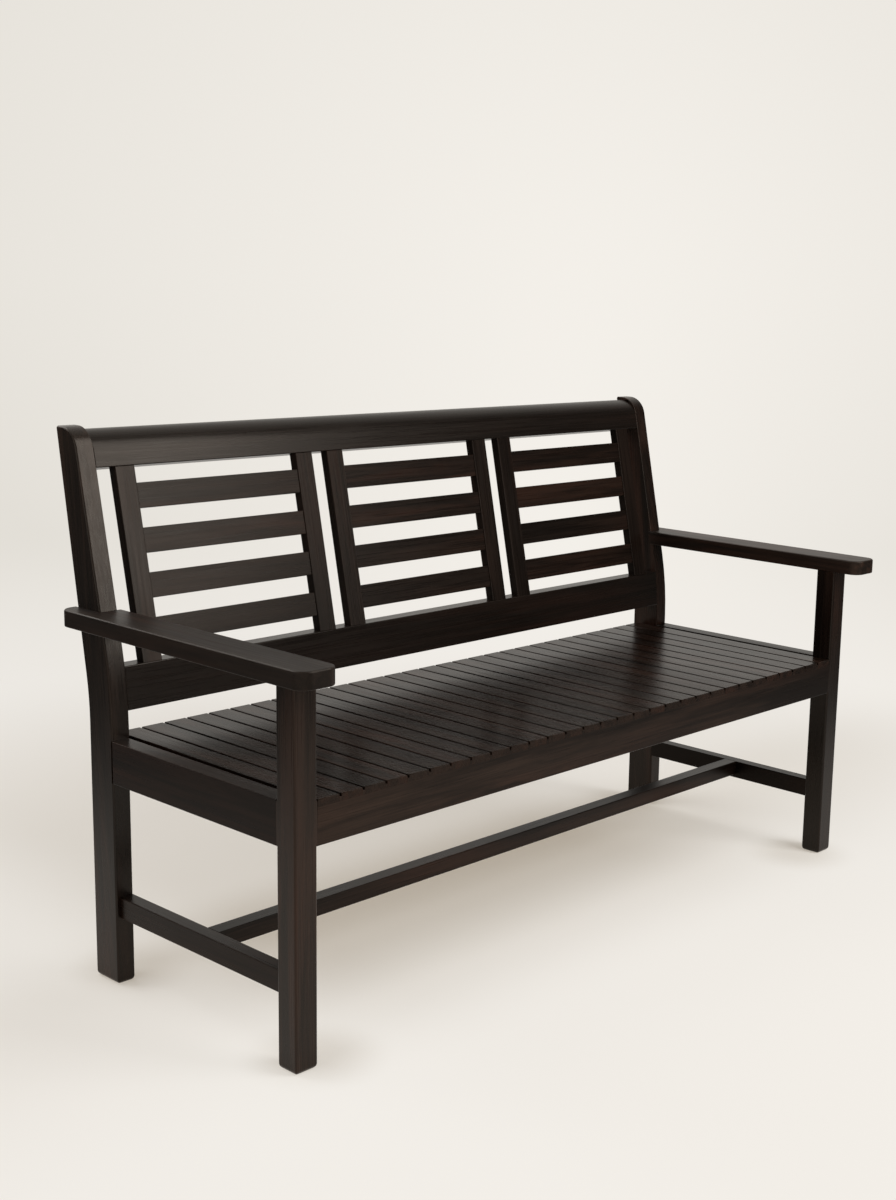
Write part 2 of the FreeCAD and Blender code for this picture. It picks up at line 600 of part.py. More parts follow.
# Seat slats, their bearer and the screws that hold them from below
def make_seat_slat(number):
    body = new_body("seat_slat_%02d" % number)
    left = "slat_pitch * %d - seat_half" % (number - 1)
    right = left + " + slat_width"
    block(body, "slat", (left, right), ("0", "slat_length"), ("slat_bottom", "seat_height"))
    ease(body, "Chamfer", "slat_edges", "slat_edge_bevel", at_line(z="seat_height"))
    pilot = eight_sides(body, "slat_pilot", "slat_bottom", left + " + slat_width / 2", "slat_length / 2",
                        "screw_radius + bore_clearance")
    cut(body, pilot, "screw_bite + mortise_slack")
    return body


def make_bearer():
    body = new_body("seat_bearer")
    block(body, "bearer", ("-post_inner", "post_inner"), ("bearer_front", "bearer_front + bearer_width"),
          ("bearer_bottom", "slat_bottom"))
    block(body, "bearer_tenons", ("-post_inner - bearer_tenon_length", "post_inner + bearer_tenon_length"),
          ("bearer_tenon_front", "bearer_tenon_front + bearer_tenon_width"),
          ("bearer_tenon_bottom", "bearer_tenon_bottom + tenon_thickness"))
    bore = eight_sides(body, "bearer_bore", "bearer_bottom", "first_screw", "slat_length / 2",
                       "screw_radius + bore_clearance")
    bore_cut = cut(body, bore, "bearer_height")
    pattern(body, [bore_cut], "X_Axis", "slat_count", "slat_pitch * (slat_count - 1)")
    return body


def make_slat_screws():
    body = new_body("slat_screws")
    head = eight_sides(body, "screw_head", "bearer_bottom - screw_head_height", "first_screw",
                       "slat_length / 2", "screw_head_radius")
    head_pad = pad(body, head, "screw_head_height")
    shank = eight_sides(body, "screw_shank", "bearer_bottom", "first_screw", "slat_length / 2",
                        "screw_radius")
    shank_pad = pad(body, shank, "bearer_height + screw_bite")
    pattern(body, [head_pad, shank_pad], "X_Axis", "slat_count", "slat_pitch * (slat_count - 1)")
    return body


# Stretchers: one at each side and one between them
def make_side_stretcher(side, word):
    body = new_body("side_stretcher_" + word)
    block(body, "stretcher", on_side(side, "post_inner", "stretcher_outer"), ("leg_depth", "post_setback"),
          ("stretcher_bottom", "stretcher_top"))
    long_edges = any_of(at_line(z="stretcher_top"), at_line(z="stretcher_bottom"))
    ease(body, "Chamfer", "stretcher_edges", "rail_edge_bevel",
         lambda edge: long_edges(edge) and edge.Length > value("stretcher_thickness * 2"))
    block(body, "stretcher_tenons",
          on_side(side, "stretcher_middle - tenon_thickness / 2", "stretcher_middle + tenon_thickness / 2"),
          ("leg_depth - side_tenon_length", "post_setback + side_tenon_length"), STRETCHER_TENON)
    hollow(body, "stretcher_mortise",
           on_side(side, "post_inner", "post_inner + centre_tenon_length + mortise_slack"),
           ("centre_tenon_front", "centre_tenon_front + tenon_thickness"),
           ("centre_tenon_bottom", "centre_tenon_bottom + centre_tenon_height"))
    return body


def make_centre_stretcher():
    body = new_body("centre_stretcher")
    block(body, "centre", ("-post_inner", "post_inner"),
          ("centre_stretcher_setback", "centre_stretcher_setback + centre_stretcher_depth"),
          ("centre_bottom", "stretcher_top"))
    ease(body, "Chamfer", "centre_edges", "rail_edge_bevel",
         lambda edge: edge.Length > value("post_inner"))
    block(body, "centre_tenons", ("-post_inner - centre_tenon_length", "post_inner + centre_tenon_length"),
          ("centre_tenon_front", "centre_tenon_front + tenon_thickness"),
          ("centre_tenon_bottom", "centre_tenon_bottom + centre_tenon_height"))
    return body


def stile_left(number):
    """Give the left edge of a back stile, numbered 0 to 5 from the left."""
    panel, right_hand = divmod(number, 2)
    left = "-post_inner + stile_gap + panel_pitch * %d + (panel_width + stile_width) * %d"
    return left % (panel, right_hand)


def stile_mortises(body, name, bottom, top):
    """Cut the mortises of the six stiles into a rail of the back."""
    for number in range(6):
        left = stile_left(number) + " + stile_tenon_inset"
        hollow(body, "%s_%d" % (name, number + 1), (left, left + " + stile_tenon_width"),
               ("stile_tenon_front", "stile_tenon_front + tenon_thickness"), (bottom, top))


# The back: crest rail, lower rail, stiles and slats, all in the leaning frame
def make_crest_rail():
    body = lean_back(new_body("crest_rail"))
    profile = outline(body, "crest_profile", "YZ_Plane", "-post_inner", [
        ("0", "crest_rise"),
        ("crest_thickness", "crest_rise"),
        ("crest_thickness", "crest_top_back"),
        ("0", "crest_top"),
    ])
    pad(body, profile, "2 * post_inner")
    ease(body, "Fillet", "crest_roll", "post_top_radius", at_line(y="0", z="crest_top"))
    ease(body, "Fillet", "crest_back_edge", "crest_back_radius",
         at_line(y="crest_thickness", z="crest_top_back"))
    ease(body, "Fillet", "crest_lower_edges", "rail_edge_radius",
         lambda edge: at_line(z="crest_rise")(edge) and edge.Length > value("post_inner"))
    block(body, "crest_tenons", ("-post_inner - cross_tenon_length", "post_inner + cross_tenon_length"),
          ("crest_tenon_front", "crest_tenon_front + tenon_thickness"),
          ("crest_tenon_bottom", "crest_tenon_bottom + crest_tenon_height"))
    stile_mortises(body, "crest_mortise", "crest_rise", "crest_rise + stile_tenon_length + mortise_slack")
    return body


def make_lower_rail():
    body = lean_back(new_body("lower_back_rail"))
    profile = outline(body, "lower_profile", "YZ_Plane", "-post_inner", [
        ("lower_bottom_front_y", "lower_bottom_front_z"),
        ("lower_bottom_back_y", "lower_bottom_back_z"),
        ("lower_top_back_y", "lower_top_back_z"),
        ("lower_top_front_y", "lower_top_front_z"),
    ])
    pad(body, profile, "2 * post_inner")
    ease(body, "Fillet", "lower_edges", "rail_edge_radius", lambda edge: edge.Length > value("post_inner"))
    block(body, "lower_tenons", ("-post_inner - cross_tenon_length", "post_inner + cross_tenon_length"),
          ("lower_tenon_front", "lower_tenon_front + tenon_thickness"),
          ("lower_tenon_bottom", "lower_tenon_bottom + lower_tenon_height"))
    stile_mortises(body, "lower_mortise", "stile_foot_front - stile_tenon_length - mortise_slack",
                   "lower_top_back_z")
    return body


def make_stile(number):
    body = lean_back(new_body("back_stile_%d" % (number + 1)))
    left = stile_left(number)
    # Its foot is cut level to sit on the lower rail, its head is square
    profile = outline(body, "stile_profile", "YZ_Plane", left, [
        ("stile_recess", "stile_foot_front"),
        ("stile_back", "stile_foot_back"),
        ("stile_back", "crest_rise"),
        ("stile_recess", "crest_rise"),
    ])
    pad(body, profile, "stile_width")
    ease(body, "Chamfer", "stile_edges", "back_edge_bevel",
         lambda edge: edge.Length > value("crest_rise / 2"))
    inset = left + " + stile_tenon_inset"
    block(body, "stile_tenons", (inset, inset + " + stile_tenon_width"),
          ("stile_tenon_front", "stile_tenon_front + tenon_thickness"),
          ("stile_foot_front - stile_tenon_length", "crest_rise + stile_tenon_length"))
    # A housing for each slat of its panel, on the side that faces the panel
    if number % 2 == 0:
        reach = (left + " + stile_width - back_slat_bite", left + " + stile_width")
    else:
        reach = (left, left + " + back_slat_bite")
    housing = hollow(body, "stile_housing", reach, ("back_slat_front", "back_slat_back"),
                     ("back_slat_rise", "back_slat_rise + back_slat_height"))
    pattern(body, [housing], "Z_Axis", "back_slat_count", "back_slat_pitch * (back_slat_count - 1)")
    return body


def make_back_slats(panel, word):
    body = lean_back(new_body("back_slats_" + word))
    left = stile_left(2 * panel) + " + stile_width - back_slat_bite"
    right = stile_left(2 * panel + 1) + " + back_slat_bite"
    slat = block(body, "back_slat", (left, right), ("back_slat_front", "back_slat_back"),
                 ("back_slat_rise", "back_slat_rise + back_slat_height"))
    pattern(body, [slat], "Z_Axis", "back_slat_count", "back_slat_pitch * (back_slat_count - 1)")
    return body


# Build every sub-part
bodies = []
for side, word in ((-1, "left"), (1, "right")):
    bodies.append(make_front_leg(side, word))
    bodies.append(make_rear_post(side, word))
    bodies.append(make_arm(side, word))
    bodies.append(make_side_rail(side, word))
    bodies.append(make_side_stretcher(side, word))
bodies.append(make_front_rail())
bodies.append(make_rear_rail())
bodies.append(make_centre_stretcher())
bodies.append(make_bearer())
bodies.append(make_crest_rail())
bodies.append(make_lower_rail())
for number in range(6):
    bodies.append(make_stile(number))
for panel, word in enumerate(("left", "middle", "right")):
    bodies.append(make_back_slats(panel, word))
for number in range(1, int(value("slat_count")) + 1):
    bodies.append(make_seat_slat(number))
bodies.append(make_arm_dowels())
bodies.append(make_slat_screws())
doc.recompute()

# Make sure that all of it is sound, then write one file for each sub-part
for item in doc.Objects:
    if "Invalid" in item.State or "Error" in item.State:
        raise RuntimeError("%s of the model did not build: %s" % (item.Name, item.State))
for body in bodies:
    if body.Shape.isNull() or not body.Shape.isValid():
        raise RuntimeError("%s has no sound shape" % body.Label)

os.makedirs("parts", exist_ok=True)
for body in bodies:
    body.Shape.exportStep(os.path.join("parts", body.Label + ".step"))
    print("%-24s %3d solids %8.1f cm3" % (body.Label, len(body.Shape.Solids), body.Shape.Volume / 1000))
print("%d sub-parts" % len(bodies))
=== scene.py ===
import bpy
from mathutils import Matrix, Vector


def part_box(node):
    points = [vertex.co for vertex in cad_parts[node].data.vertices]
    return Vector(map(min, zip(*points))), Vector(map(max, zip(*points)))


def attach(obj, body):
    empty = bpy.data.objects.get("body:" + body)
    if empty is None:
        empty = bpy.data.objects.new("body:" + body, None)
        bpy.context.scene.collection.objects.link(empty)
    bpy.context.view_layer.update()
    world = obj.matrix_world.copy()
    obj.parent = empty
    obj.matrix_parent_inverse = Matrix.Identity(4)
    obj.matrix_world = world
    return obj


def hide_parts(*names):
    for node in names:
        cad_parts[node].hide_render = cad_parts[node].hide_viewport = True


bl_info = {
    "name": "Stained slat bench",
    "version": (1, 0, 0),
    "blender": (4, 5, 0),
    "location": "View3D > Sidebar > Bench",
    "description": "Builds the timbers, finish and studio of a three-seat slatted garden bench",
    "category": "Object",
}

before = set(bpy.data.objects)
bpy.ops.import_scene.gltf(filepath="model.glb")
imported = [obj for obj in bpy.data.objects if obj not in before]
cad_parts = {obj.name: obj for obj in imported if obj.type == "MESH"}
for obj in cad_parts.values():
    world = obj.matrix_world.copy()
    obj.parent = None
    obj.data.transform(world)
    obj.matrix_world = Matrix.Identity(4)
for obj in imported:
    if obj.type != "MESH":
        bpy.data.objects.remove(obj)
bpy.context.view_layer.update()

import math
import random

import bmesh
import bpy
from bpy.props import FloatProperty, FloatVectorProperty, IntProperty, PointerProperty
from bpy.types import Operator, Panel, PropertyGroup
from mathutils import Matrix, Vector

# Places read from the frame, in metres
LEG_LOW, LEG_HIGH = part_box("front_leg_right")
POST_LOW, POST_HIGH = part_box("rear_post_right")
ARM_LOW, ARM_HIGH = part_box("arm_right")
SLAT_LOW, SLAT_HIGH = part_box("seat_slat_01")
BEARER_LOW, BEARER_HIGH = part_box("seat_bearer")
STRETCHER_LOW, STRETCHER_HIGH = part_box("side_stretcher_right")
CENTRE_LOW, CENTRE_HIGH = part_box("centre_stretcher")

FRONT = LEG_LOW.y
SEAT_TOP = SLAT_HIGH.z
RAIL_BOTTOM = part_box("side_seat_rail_right")[0].z
ARM_UNDER = ARM_LOW.z
ARM_TOP = ARM_HIGH.z
LEG_INNER = LEG_LOW.x
LEG_OUTER = LEG_HIGH.x
LEG_BACK = LEG_HIGH.y
POST_INNER = POST_LOW.x
POST_OUTER = POST_HIGH.x
POST_FRONT = POST_LOW.y
POST_TOP = POST_HIGH.z
POST_ENDS = (-POST_INNER, POST_INNER)
SIDE_ENDS = (LEG_BACK, POST_FRONT)

SLATS = sorted(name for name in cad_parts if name.startswith("seat_slat_"))
SIDES = ((-1, "left"), (1, "right"))
PANELS = ("left", "middle", "right")
X, Y, Z = range(3)

# How light some boards are at their two ends, and the range for the others. This is partly stain and
# partly painted light: the front seat rail, crest rail and lower back rail darken from left to right as a
# painted fall-off of light and sheen, the rear left post is darker towards its foot as painted shade under
# the arm, and the left leg and left side stretcher are set lighter than the right ones
STAIN_AND_PAINTED_LIGHT = {
    "front_leg_left": (1.0, 0.7), "front_leg_right": (0.0, 0.1),
    "rear_post_left": (0.15, 0.90), "rear_post_right": (0.25, 0.25),
    "front_seat_rail": (1.0, 0.1), "crest_rail": (1.0, 0.2), "lower_back_rail": (0.8, 0.0),
    "centre_stretcher": (0.2, 0.4),
    "side_stretcher_left": (1.0, 1.0), "side_stretcher_right": (0.1, 0.1),
}
OTHER_SHADES = (0.25, 0.75)
CUT_SHADE = 0.5  # how much lighter the cut ends of the slats are than the rail round them
CUT_RUN = 0.005  # how far a cut end's shade fades along a slat
SLAT_BREAKS = (0.16, 0.33)  # rings of points between a slat's ends, from its front
GRAIN_SPREAD = 7.0  # how far apart in the grain two boards may be cut
POST_RUN_OUT = math.radians(-5.0)  # slope of the grain in the rear posts

SAME = 0.00005  # how near two places are when they count as one
PLAY = 0.001  # how far an edge may pass a joint and still lie within it
SHOULDER_REACH = 0.004  # how far the arm's leaning shoulder strays from its middle line
LEAST_COMB = 0.002  # narrowest comb at the end of a seat rail
ROUND_STEP = math.radians(6.0)  # most that one run of a rounded corner turns
LEAST_RUNS = 4  # fewest runs in a rounded corner
SHARP_ANGLE = math.radians(25.0)  # an edge left unsoftened stays sharp when it turns by more
SCREW_SHARP_ANGLE = math.radians(35.0)
CREST_BACK_RADIUS = 0.009
INNER_SHARE = 0.35  # softening of a post's inner edges, against its outer ones


def length(name, description, default):
    """A size in metres for a settings group."""
    return FloatProperty(name=name, description=description, default=default, unit="LENGTH", precision=4)


def angle(name, description, degrees):
    """An angle for a settings group."""
    return FloatProperty(name=name, description=description, default=math.radians(degrees),
                         subtype="ANGLE", unit="ROTATION")


def colour(name, description, default):
    """A linear colour for a settings group."""
    return FloatVectorProperty(name=name, description=description, default=default, size=3,
                               subtype="COLOR", min=0.0, max=1.0)


def share(name, description, default):
    """A number between nought and one for a settings group."""
    return FloatProperty(name=name, description=description, default=default, min=0.0, max=1.0,
                         subtype="FACTOR")


def strength(name, description, default):
    """The strength of a light for a settings group."""
    return FloatProperty(name=name, description=description, default=default, min=0.0)


class BenchShapes(PropertyGroup):
    """Sizes of the timbers that the frame's boxes don't tell."""

    rake: angle("Rake", "Lean of the back", 12.0)
    rear_rake: angle("Rear rake", "Lean of the posts' rear edges", 9.4)
    bend_height: length("Bend height", "Floor to where the front lines of a post cross", 0.504)
    bend_radius: length("Bend radius", "Front of a post at its bend", 0.666)
    rear_bend_height: length("Rear bend height", "Floor to where the rear lines of a post cross", 0.478)
    rear_bend_radius: length("Rear bend radius", "Rear of a post at its bend", 0.480)
    post_depth: length("Post depth", "Rear post front to back, below the bend", 0.064)
    top_roll: length("Top roll", "Rounded top front of the posts and the crest rail", 0.042)
    crest_height: length("Crest height", "Crest rail along the rake", 0.060)
    crest_depth: length("Crest depth", "Crest rail front to back", 0.044)
    crest_drop: length("Crest drop", "Crest rail below the tops of the posts", 0.006)
    lower_height: length("Lower rail height", "Front face of the lower back rail", 0.0725)
    lower_drop: length("Lower rail drop", "Bend to the lower edge of the lower back rail", 0.041)
    lower_depth: length("Lower rail depth", "Lower back rail front to back", 0.030)
    lower_inset: length("Lower rail inset", "Bend of the post to the face of the lower rail", 0.0007)
    stile_width: length("Stile width", "Back stile along the bench", 0.037)
    stile_depth: length("Stile depth", "Back stile front to back", 0.018)
    stile_recess: length("Stile recess", "Front of the back to a stile", 0.0015)
    stile_gap: length("Stile gap", "Opening beside each stile", 0.03525)
    slat_height: length("Back slat height", "Back slat along the rake", 0.042)
    slat_depth: length("Back slat depth", "Back slat front to back", 0.013)
    slat_recess: length("Back slat recess", "Front of a stile to a back slat", 0.002)
    slat_end_gap: length("Back slat end gap", "Opening above and below the back slats", 0.0285)
    slat_count: IntProperty(name="Back slats", description="Slats in one panel", default=4, min=2)
    arm_corner: length("Arm corner", "Corners of an arm seen from above", 0.022)
    groove_depth: length("Groove depth", "Seat top down to the rail between two slats", 0.005)
    housing_play: length("Housing play", "Each side of a slat in its housing", 0.0003)
    front_rail_depth: length("Front rail depth", "Front seat rail front to back", 0.030)
    rear_rail_depth: length("Rear rail depth", "Rear seat rail front to back", 0.028)


class BenchEdges(PropertyGroup):
    """How far the timbers' edges are softened."""

    leg: length("Leg edge", "Corners of legs and posts", 0.0035)
    foot: length("Foot edge", "Bevel round each foot", 0.0074)
    arm: length("Arm edge", "Top edges of the arms", 0.0034)
    arm_under: length("Arm lower edge", "Lower edges of the arms", 0.0018)
    rail: length("Rail edge", "Long edges of rails and stretchers", 0.0016)
    slat: length("Slat edge", "Top edges of the seat slats", 0.0012)
    back: length("Back edge", "Edges of stiles and back slats", 0.0012)
    joint: length("Joint line", "Edge that shows where two timbers meet", 0.0004)


class BenchFinish(PropertyGroup):
    """Colours and gloss of the stained and lacquered wood."""

    dark: colour("Stain", "Darkest part of the stained grain", (0.0040, 0.0020, 0.0012))
    light: colour("Streak", "Lighter streaks of the stained grain", (0.0215, 0.0128, 0.0090))
    warm: colour("Red streak", "Red-brown wood that shows through the stain", (0.0330, 0.0132, 0.0080))
    # Lighter wood along the softened edges, partly wear and partly a painted highlight on the arrises
    rubbed_and_highlit: colour("Rubbed edge", "Wood at rubbed edges", (0.060, 0.034, 0.022))
    gloss: share("Roughness", "Roughness of the satin lacquer", 0.30)
    rub_and_highlight: share("Rub", "How far the edges are rubbed", 0.20)
    relief: share("Grain relief", "How far the open grain shows under the lacquer", 0.50)


class BenchStudio(PropertyGroup):
    """Floor, light and camera."""

    floor: colour("Floor", "Pale floor", (0.903, 0.870, 0.820))
    # Painted shade on the floor: a darker band behind the bench and a darker left side
    cove_shade: share("Dip", "How far the floor darkens where it turns up", 0.03)
    left: share("Left floor", "Floor tone at the left, against the rest", 0.965)
    shadow: share("Shadow", "How far the bench's shadow shows on the floor beneath it", 0.90)
    front_shadow: share("Front shadow", "How far that shadow shows on the floor in front", 0.12)
    foot_shadow: share("Foot shadow", "How much darker the shadow is close to the feet", 0.50)
    backdrop: colour("Backdrop", "Backdrop where it is brightest", (0.912, 0.880, 0.828))
    backdrop_edge: colour("Backdrop edge", "Backdrop away from its brightest place", (0.765, 0.735, 0.680))
    # Painted shade in the lacquer's reflections: what it mirrors at both sides is darker
    painted_room_shade: share("Dim room", "How far the room at both sides darkens what the lacquer mirrors", 0.85)
    lit_direction: FloatVectorProperty(
        name="Lit direction", description="Way to the backdrop's brightest place",
        default=(0.760, 0.650, 0.000), subtype="DIRECTION", size=3)
    sky: strength("Soft light", "Strength of the even light from all round", 0.15)
    left_lamp: strength("Left lamp", "Strength of the lamp at the left", 1.2)
    rear_lamp: strength("Rear lamp", "Strength of the high lamp behind the bench", 3.0)
    front_lamp: strength("Front lamp", "Strength of the large lamp in front", 5.8)
    camera: FloatVectorProperty(
        name="Camera place", description="Where the camera stands",
        default=(-2.16172, -2.03014, 1.15182), subtype="TRANSLATION", size=3, unit="LENGTH")
    yaw: angle("Yaw", "Camera turned from straight back", -47.98)
    pitch: angle("Pitch", "Camera tilted up", -11.12)
    roll: angle("Roll", "Camera rolled", 1.38)
    lens: FloatProperty(name="Lens", description="Focal length", default=49.49, unit="CAMERA")


def shapes():
    """The sizes in use."""
    return bpy.context.scene.bench_shapes


def edges():
    """The softening of the edges in use."""
    return bpy.context.scene.bench_edges


def finish():
    """The colours and gloss in use."""
    return bpy.context.scene.bench_finish


def studio():
    """The floor, light and camera in use."""
    return bpy.context.scene.bench_studio


# Outlines

def rounded(corners):
    """Turn corners given as (across, up, radius) into outline points, each round in short runs."""
    points = []
    for index, (across, up, radius) in enumerate(corners):
        here = Vector((across, up))
        if radius <= 0.0:
            points.append(here)
            continue
        before = Vector(corners[index - 1][:2])
        after = Vector(corners[(index + 1) % len(corners)][:2])
        back = (before - here).normalized()
        on = (after - here).normalized()
        opening = back.angle(on)
        reach = radius / math.tan(opening / 2)
        centre = here + (back + on).normalized() * (radius / math.sin(opening / 2))
        start = here + back * reach - centre
        turn = math.pi - opening
        if start.cross(here + on * reach - centre) < 0.0:
            turn = -turn
        runs = max(LEAST_RUNS, math.ceil(abs(turn) / ROUND_STEP))
        for step in range(runs + 1):
            points.append(centre + Matrix.Rotation(turn * step / runs, 2) @ start)
    return points


def box_outline(low_high_a, low_high_b):
    """Four outline corners from two ranges."""
    (a0, a1), (b0, b1) = low_high_a, low_high_b
    return [(a0, b0), (a1, b0), (a1, b1), (a0, b1)]


def at_side(side, inner, outer):
    """The range across the bench from an inner to an outer place at one side."""
    return sorted((side * inner, side * outer))


def placed(axis, level, point):
    """Put an outline point at a level along an axis of the timber."""
    spot = list(point)
    spot.insert(axis, level)
    return Vector(spot)


# Which edges are softened

def near(one, other):
    """True where two places are one."""
    return abs(one - other) < SAME


def lies_at(line, axis, place):
    """True where both ends of a line lie at a place along an axis."""
    return all(near(end[axis], place) for end in line)


def runs_along(line, axis):
    """True where a line runs along an axis."""
    return all(near(line[0][other], line[1][other]) for other in range(3) if other != axis)


def beside_rails(line):
    """True where a line lies within the height of the seat rails."""
    return all(RAIL_BOTTOM - PLAY < end.z < SEAT_TOP + PLAY for end in line)


def long_edges(axis, ends, end_share):
    """Weights for a plain board: all of its long edges, and a share for the edges round its ends."""
    def weigh(line):
        if any(lies_at(line, axis, end) for end in ends):
            return end_share
        return 1.0 if runs_along(line, axis) else 0.0
    return weigh


# Meshes

def ring_of(mesh, centre, reaches, height, turn=0.0):
    """Points round a level centre, one for each reach."""
    steps = [math.tau * step / len(reaches) + turn for step in range(len(reaches))]
    return [mesh.verts.new((centre[0] + reach * math.cos(step), centre[1] + reach * math.sin(step), height))
            for reach, step in zip(reaches, steps)]


def join_rings(mesh, rings):
    """Faces between each ring of points and the next."""
    faces = []
    for one, other in zip(rings, rings[1:]):
        for step in range(len(one)):
            after = (step + 1) % len(one)
            faces.append(mesh.faces.new((one[step], one[after], other[after], other[step])))
    return faces


def to_object(mesh, name):
    """Turn a finished bmesh into an object of the scene."""
    data = bpy.data.meshes.new(name)
    mesh.to_mesh(data)
    mesh.free()
    piece = bpy.data.objects.new(name, data)
    bpy.context.scene.collection.objects.link(piece)
    return piece


def stand_for(piece, slot, node):
    """Give a piece its finish and let it stand for a node of the frame."""
    piece.data.materials.append(bpy.data.materials[slot + "_finish"])
    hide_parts(node)
    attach(piece, "root")


class Timber:
    """The shown piece of one node, made of one or more boards that share a mesh."""

    def __init__(self, node, edge):
        self.node = node
        self.name = node + "_timber"
        self.edge = edge
        self.mesh = bmesh.new()
        self.grain = self.mesh.verts.layers.float_vector.new("grain")
        # The tone of each point: its board's stain, and for some boards painted light along them
        self.tone = self.mesh.verts.layers.float.new("tone")
        self.weight = self.mesh.edges.layers.float.new("bevel_weight_edge")
        self.chance = random.Random(self.name)

    def board(self, outline, axis, levels, weigh, fibres, lean=None, shift=None, run_out=0.0, cut=None):
        """Add a board: an outline carried through levels along an axis. weigh gives the share of the
        edge size for a line between two points, and fibres is the axis along the grain. lean is a
        frame that the board stands in, shift moves its points, run_out is the slope of its grain, and
        cut is the tone set on the cut ends themselves. The tone along a listed board holds painted light
        as well as stain."""
        mesh = self.mesh
        offset = Vector([self.chance.uniform(0.0, GRAIN_SPREAD) for _ in range(3)])
        # Listed ends carry painted light for some boards; the others take a random stain
        shade = STAIN_AND_PAINTED_LIGHT.get(self.node) or [self.chance.uniform(*OTHER_SHADES)] * 2
        rings = []
        for level in levels:
            spots = [placed(axis, level, point) for point in outline]
            rings.append([mesh.verts.new(shift(spot) if shift else spot) for spot in spots])
        faces = [mesh.faces.new(rings[0]), mesh.faces.new(rings[-1])] + join_rings(mesh, rings)
        bmesh.ops.recalc_face_normals(mesh, faces=faces)
        for edge in {edge for face in faces for edge in face.edges}:
            edge[self.weight] = weigh([vert.co for vert in edge.verts])
        verts = [vert for ring in rings for vert in ring]
        sideways = [other for other in range(3) if other != fibres]
        slope = math.tan(run_out)
        begin = min(vert.co[fibres] for vert in verts)
        run = max(vert.co[fibres] for vert in verts) - begin
        for vert in verts:
            along, one, two = (vert.co[place] for place in (fibres, *sideways))
            vert[self.grain] = Vector((along, one, two + slope * along)) + offset
            way = (along - begin) / run
            vert[self.tone] = shade[0] + (shade[1] - shade[0]) * way
            if cut is not None and (near(way, 0.0) or near(way, 1.0)):
                vert[self.tone] = cut
            if lean is not None:
                vert.co = lean @ vert.co

    def finish(self, slot):
        """Close the piece: soften its edges, give it its finish and set it on the frame."""
        for edge in self.mesh.edges:
            if edge[self.weight] == 0.0 and edge.calc_face_angle(0.0) > SHARP_ANGLE:
                edge.smooth = False
        piece = to_object(self.mesh, self.name)
        piece.data.shade_smooth()
        soften = piece.modifiers.new("Softened edges", "BEVEL")
        soften.limit_method = "WEIGHT"
        soften.width = self.edge
        soften.segments = 3
        soften.use_clamp_overlap = False
        soften.harden_normals = True
        soften.miter_outer = "MITER_ARC"
        stand_for(piece, slot, self.node)


def one_board(node, slot, edge, *board, **options):
    """Build a timber of one board."""
    timber = Timber(node, edge)
    timber.board(*board, **options)
    timber.finish(slot)


def plain_timber(node, slot, outline, axis, lean=None, jointed=True):
    """Build a timber of one section, from post to post along X or from leg to post along Y."""
    soft = edges()
    ends = POST_ENDS if axis == X else SIDE_ENDS
    weigh = long_edges(axis, ends, soft.joint / soft.rail if jointed else 0.0)
    one_board(node, slot, soft.rail, outline, axis, ends, weigh, axis, lean=lean)


# The back's own measures

def back_frame():
    """The leaning frame of the back: Y goes through it and Z up the rake, from the bend of the posts."""
    corner = Vector((0.0, POST_FRONT, shapes().bend_height))
    return Matrix.Translation(corner) @ Matrix.Rotation(-shapes().rake, 4, "X")


def stile_lefts():
    """Left edges of the six back stiles, from the left."""
    form = shapes()
    panel = (2 * POST_INNER - 4 * form.stile_gap - 6 * form.stile_width) / 3
    lefts = []
    for number in range(len(PANELS)):
        left = -POST_INNER + form.stile_gap + number * (panel + 2 * form.stile_width + form.stile_gap)
        lefts += [left, left + panel + form.stile_width]
    return lefts


def crest_top():
    """Height of the crest rail's top above the bend, along the rake."""
    form = shapes()
    return (POST_TOP - form.crest_drop - form.bend_height) / math.cos(form.rake)


def lower_rail_outline():
    """Section of the lower back rail in the leaning frame: its face follows the bend, its top is level."""
    form = shapes()
    half = form.rake / 2
    set_in = form.bend_radius * (1 / math.cos(half) - 1) + form.lower_inset
    way = Vector((-math.sin(half), math.cos(half)))
    across = Vector((math.cos(half), math.sin(half)))
    base = across * set_in
    foot = base - way * form.lower_drop
    top = base + way * (form.lower_height - form.lower_drop)
    level = Vector((math.cos(form.rake), math.sin(form.rake)))
    run = form.lower_depth / math.cos(half)
    return [foot, foot + across * form.lower_depth, top + level * run, top]


def level_foot(through):
    """Height of the lower rail's level top in the leaning frame, at a distance through the back."""
    top = lower_rail_outline()[3]
    return top.y + (through - top.x) * math.tan(shapes().rake)


# Operators, one for each group of like timbers

class BENCH_OT_front_legs(Operator):
    """Build the two square front legs."""

    bl_idname = "bench.front_legs"
    bl_label = "Front legs"

    def execute(self, context):
        soft = edges()
        for side, word in SIDES:
            outline = box_outline(at_side(side, LEG_INNER, LEG_OUTER), (FRONT, LEG_BACK))

            def weigh(line, outer=side * LEG_OUTER):
                if lies_at(line, Z, 0.0):
                    return 1.0
                if not runs_along(line, Z):
                    return 0.0
                free = lies_at(line, X, outer) and lies_at(line, Y, FRONT)
                return soft.leg / soft.foot if free or not beside_rails(line) else 0.0

            one_board("front_leg_" + word, "post_wood", soft.foot, outline, Z,
                      (0.0, RAIL_BOTTOM, SEAT_TOP, ARM_UNDER), weigh, Z)
        return {"FINISHED"}


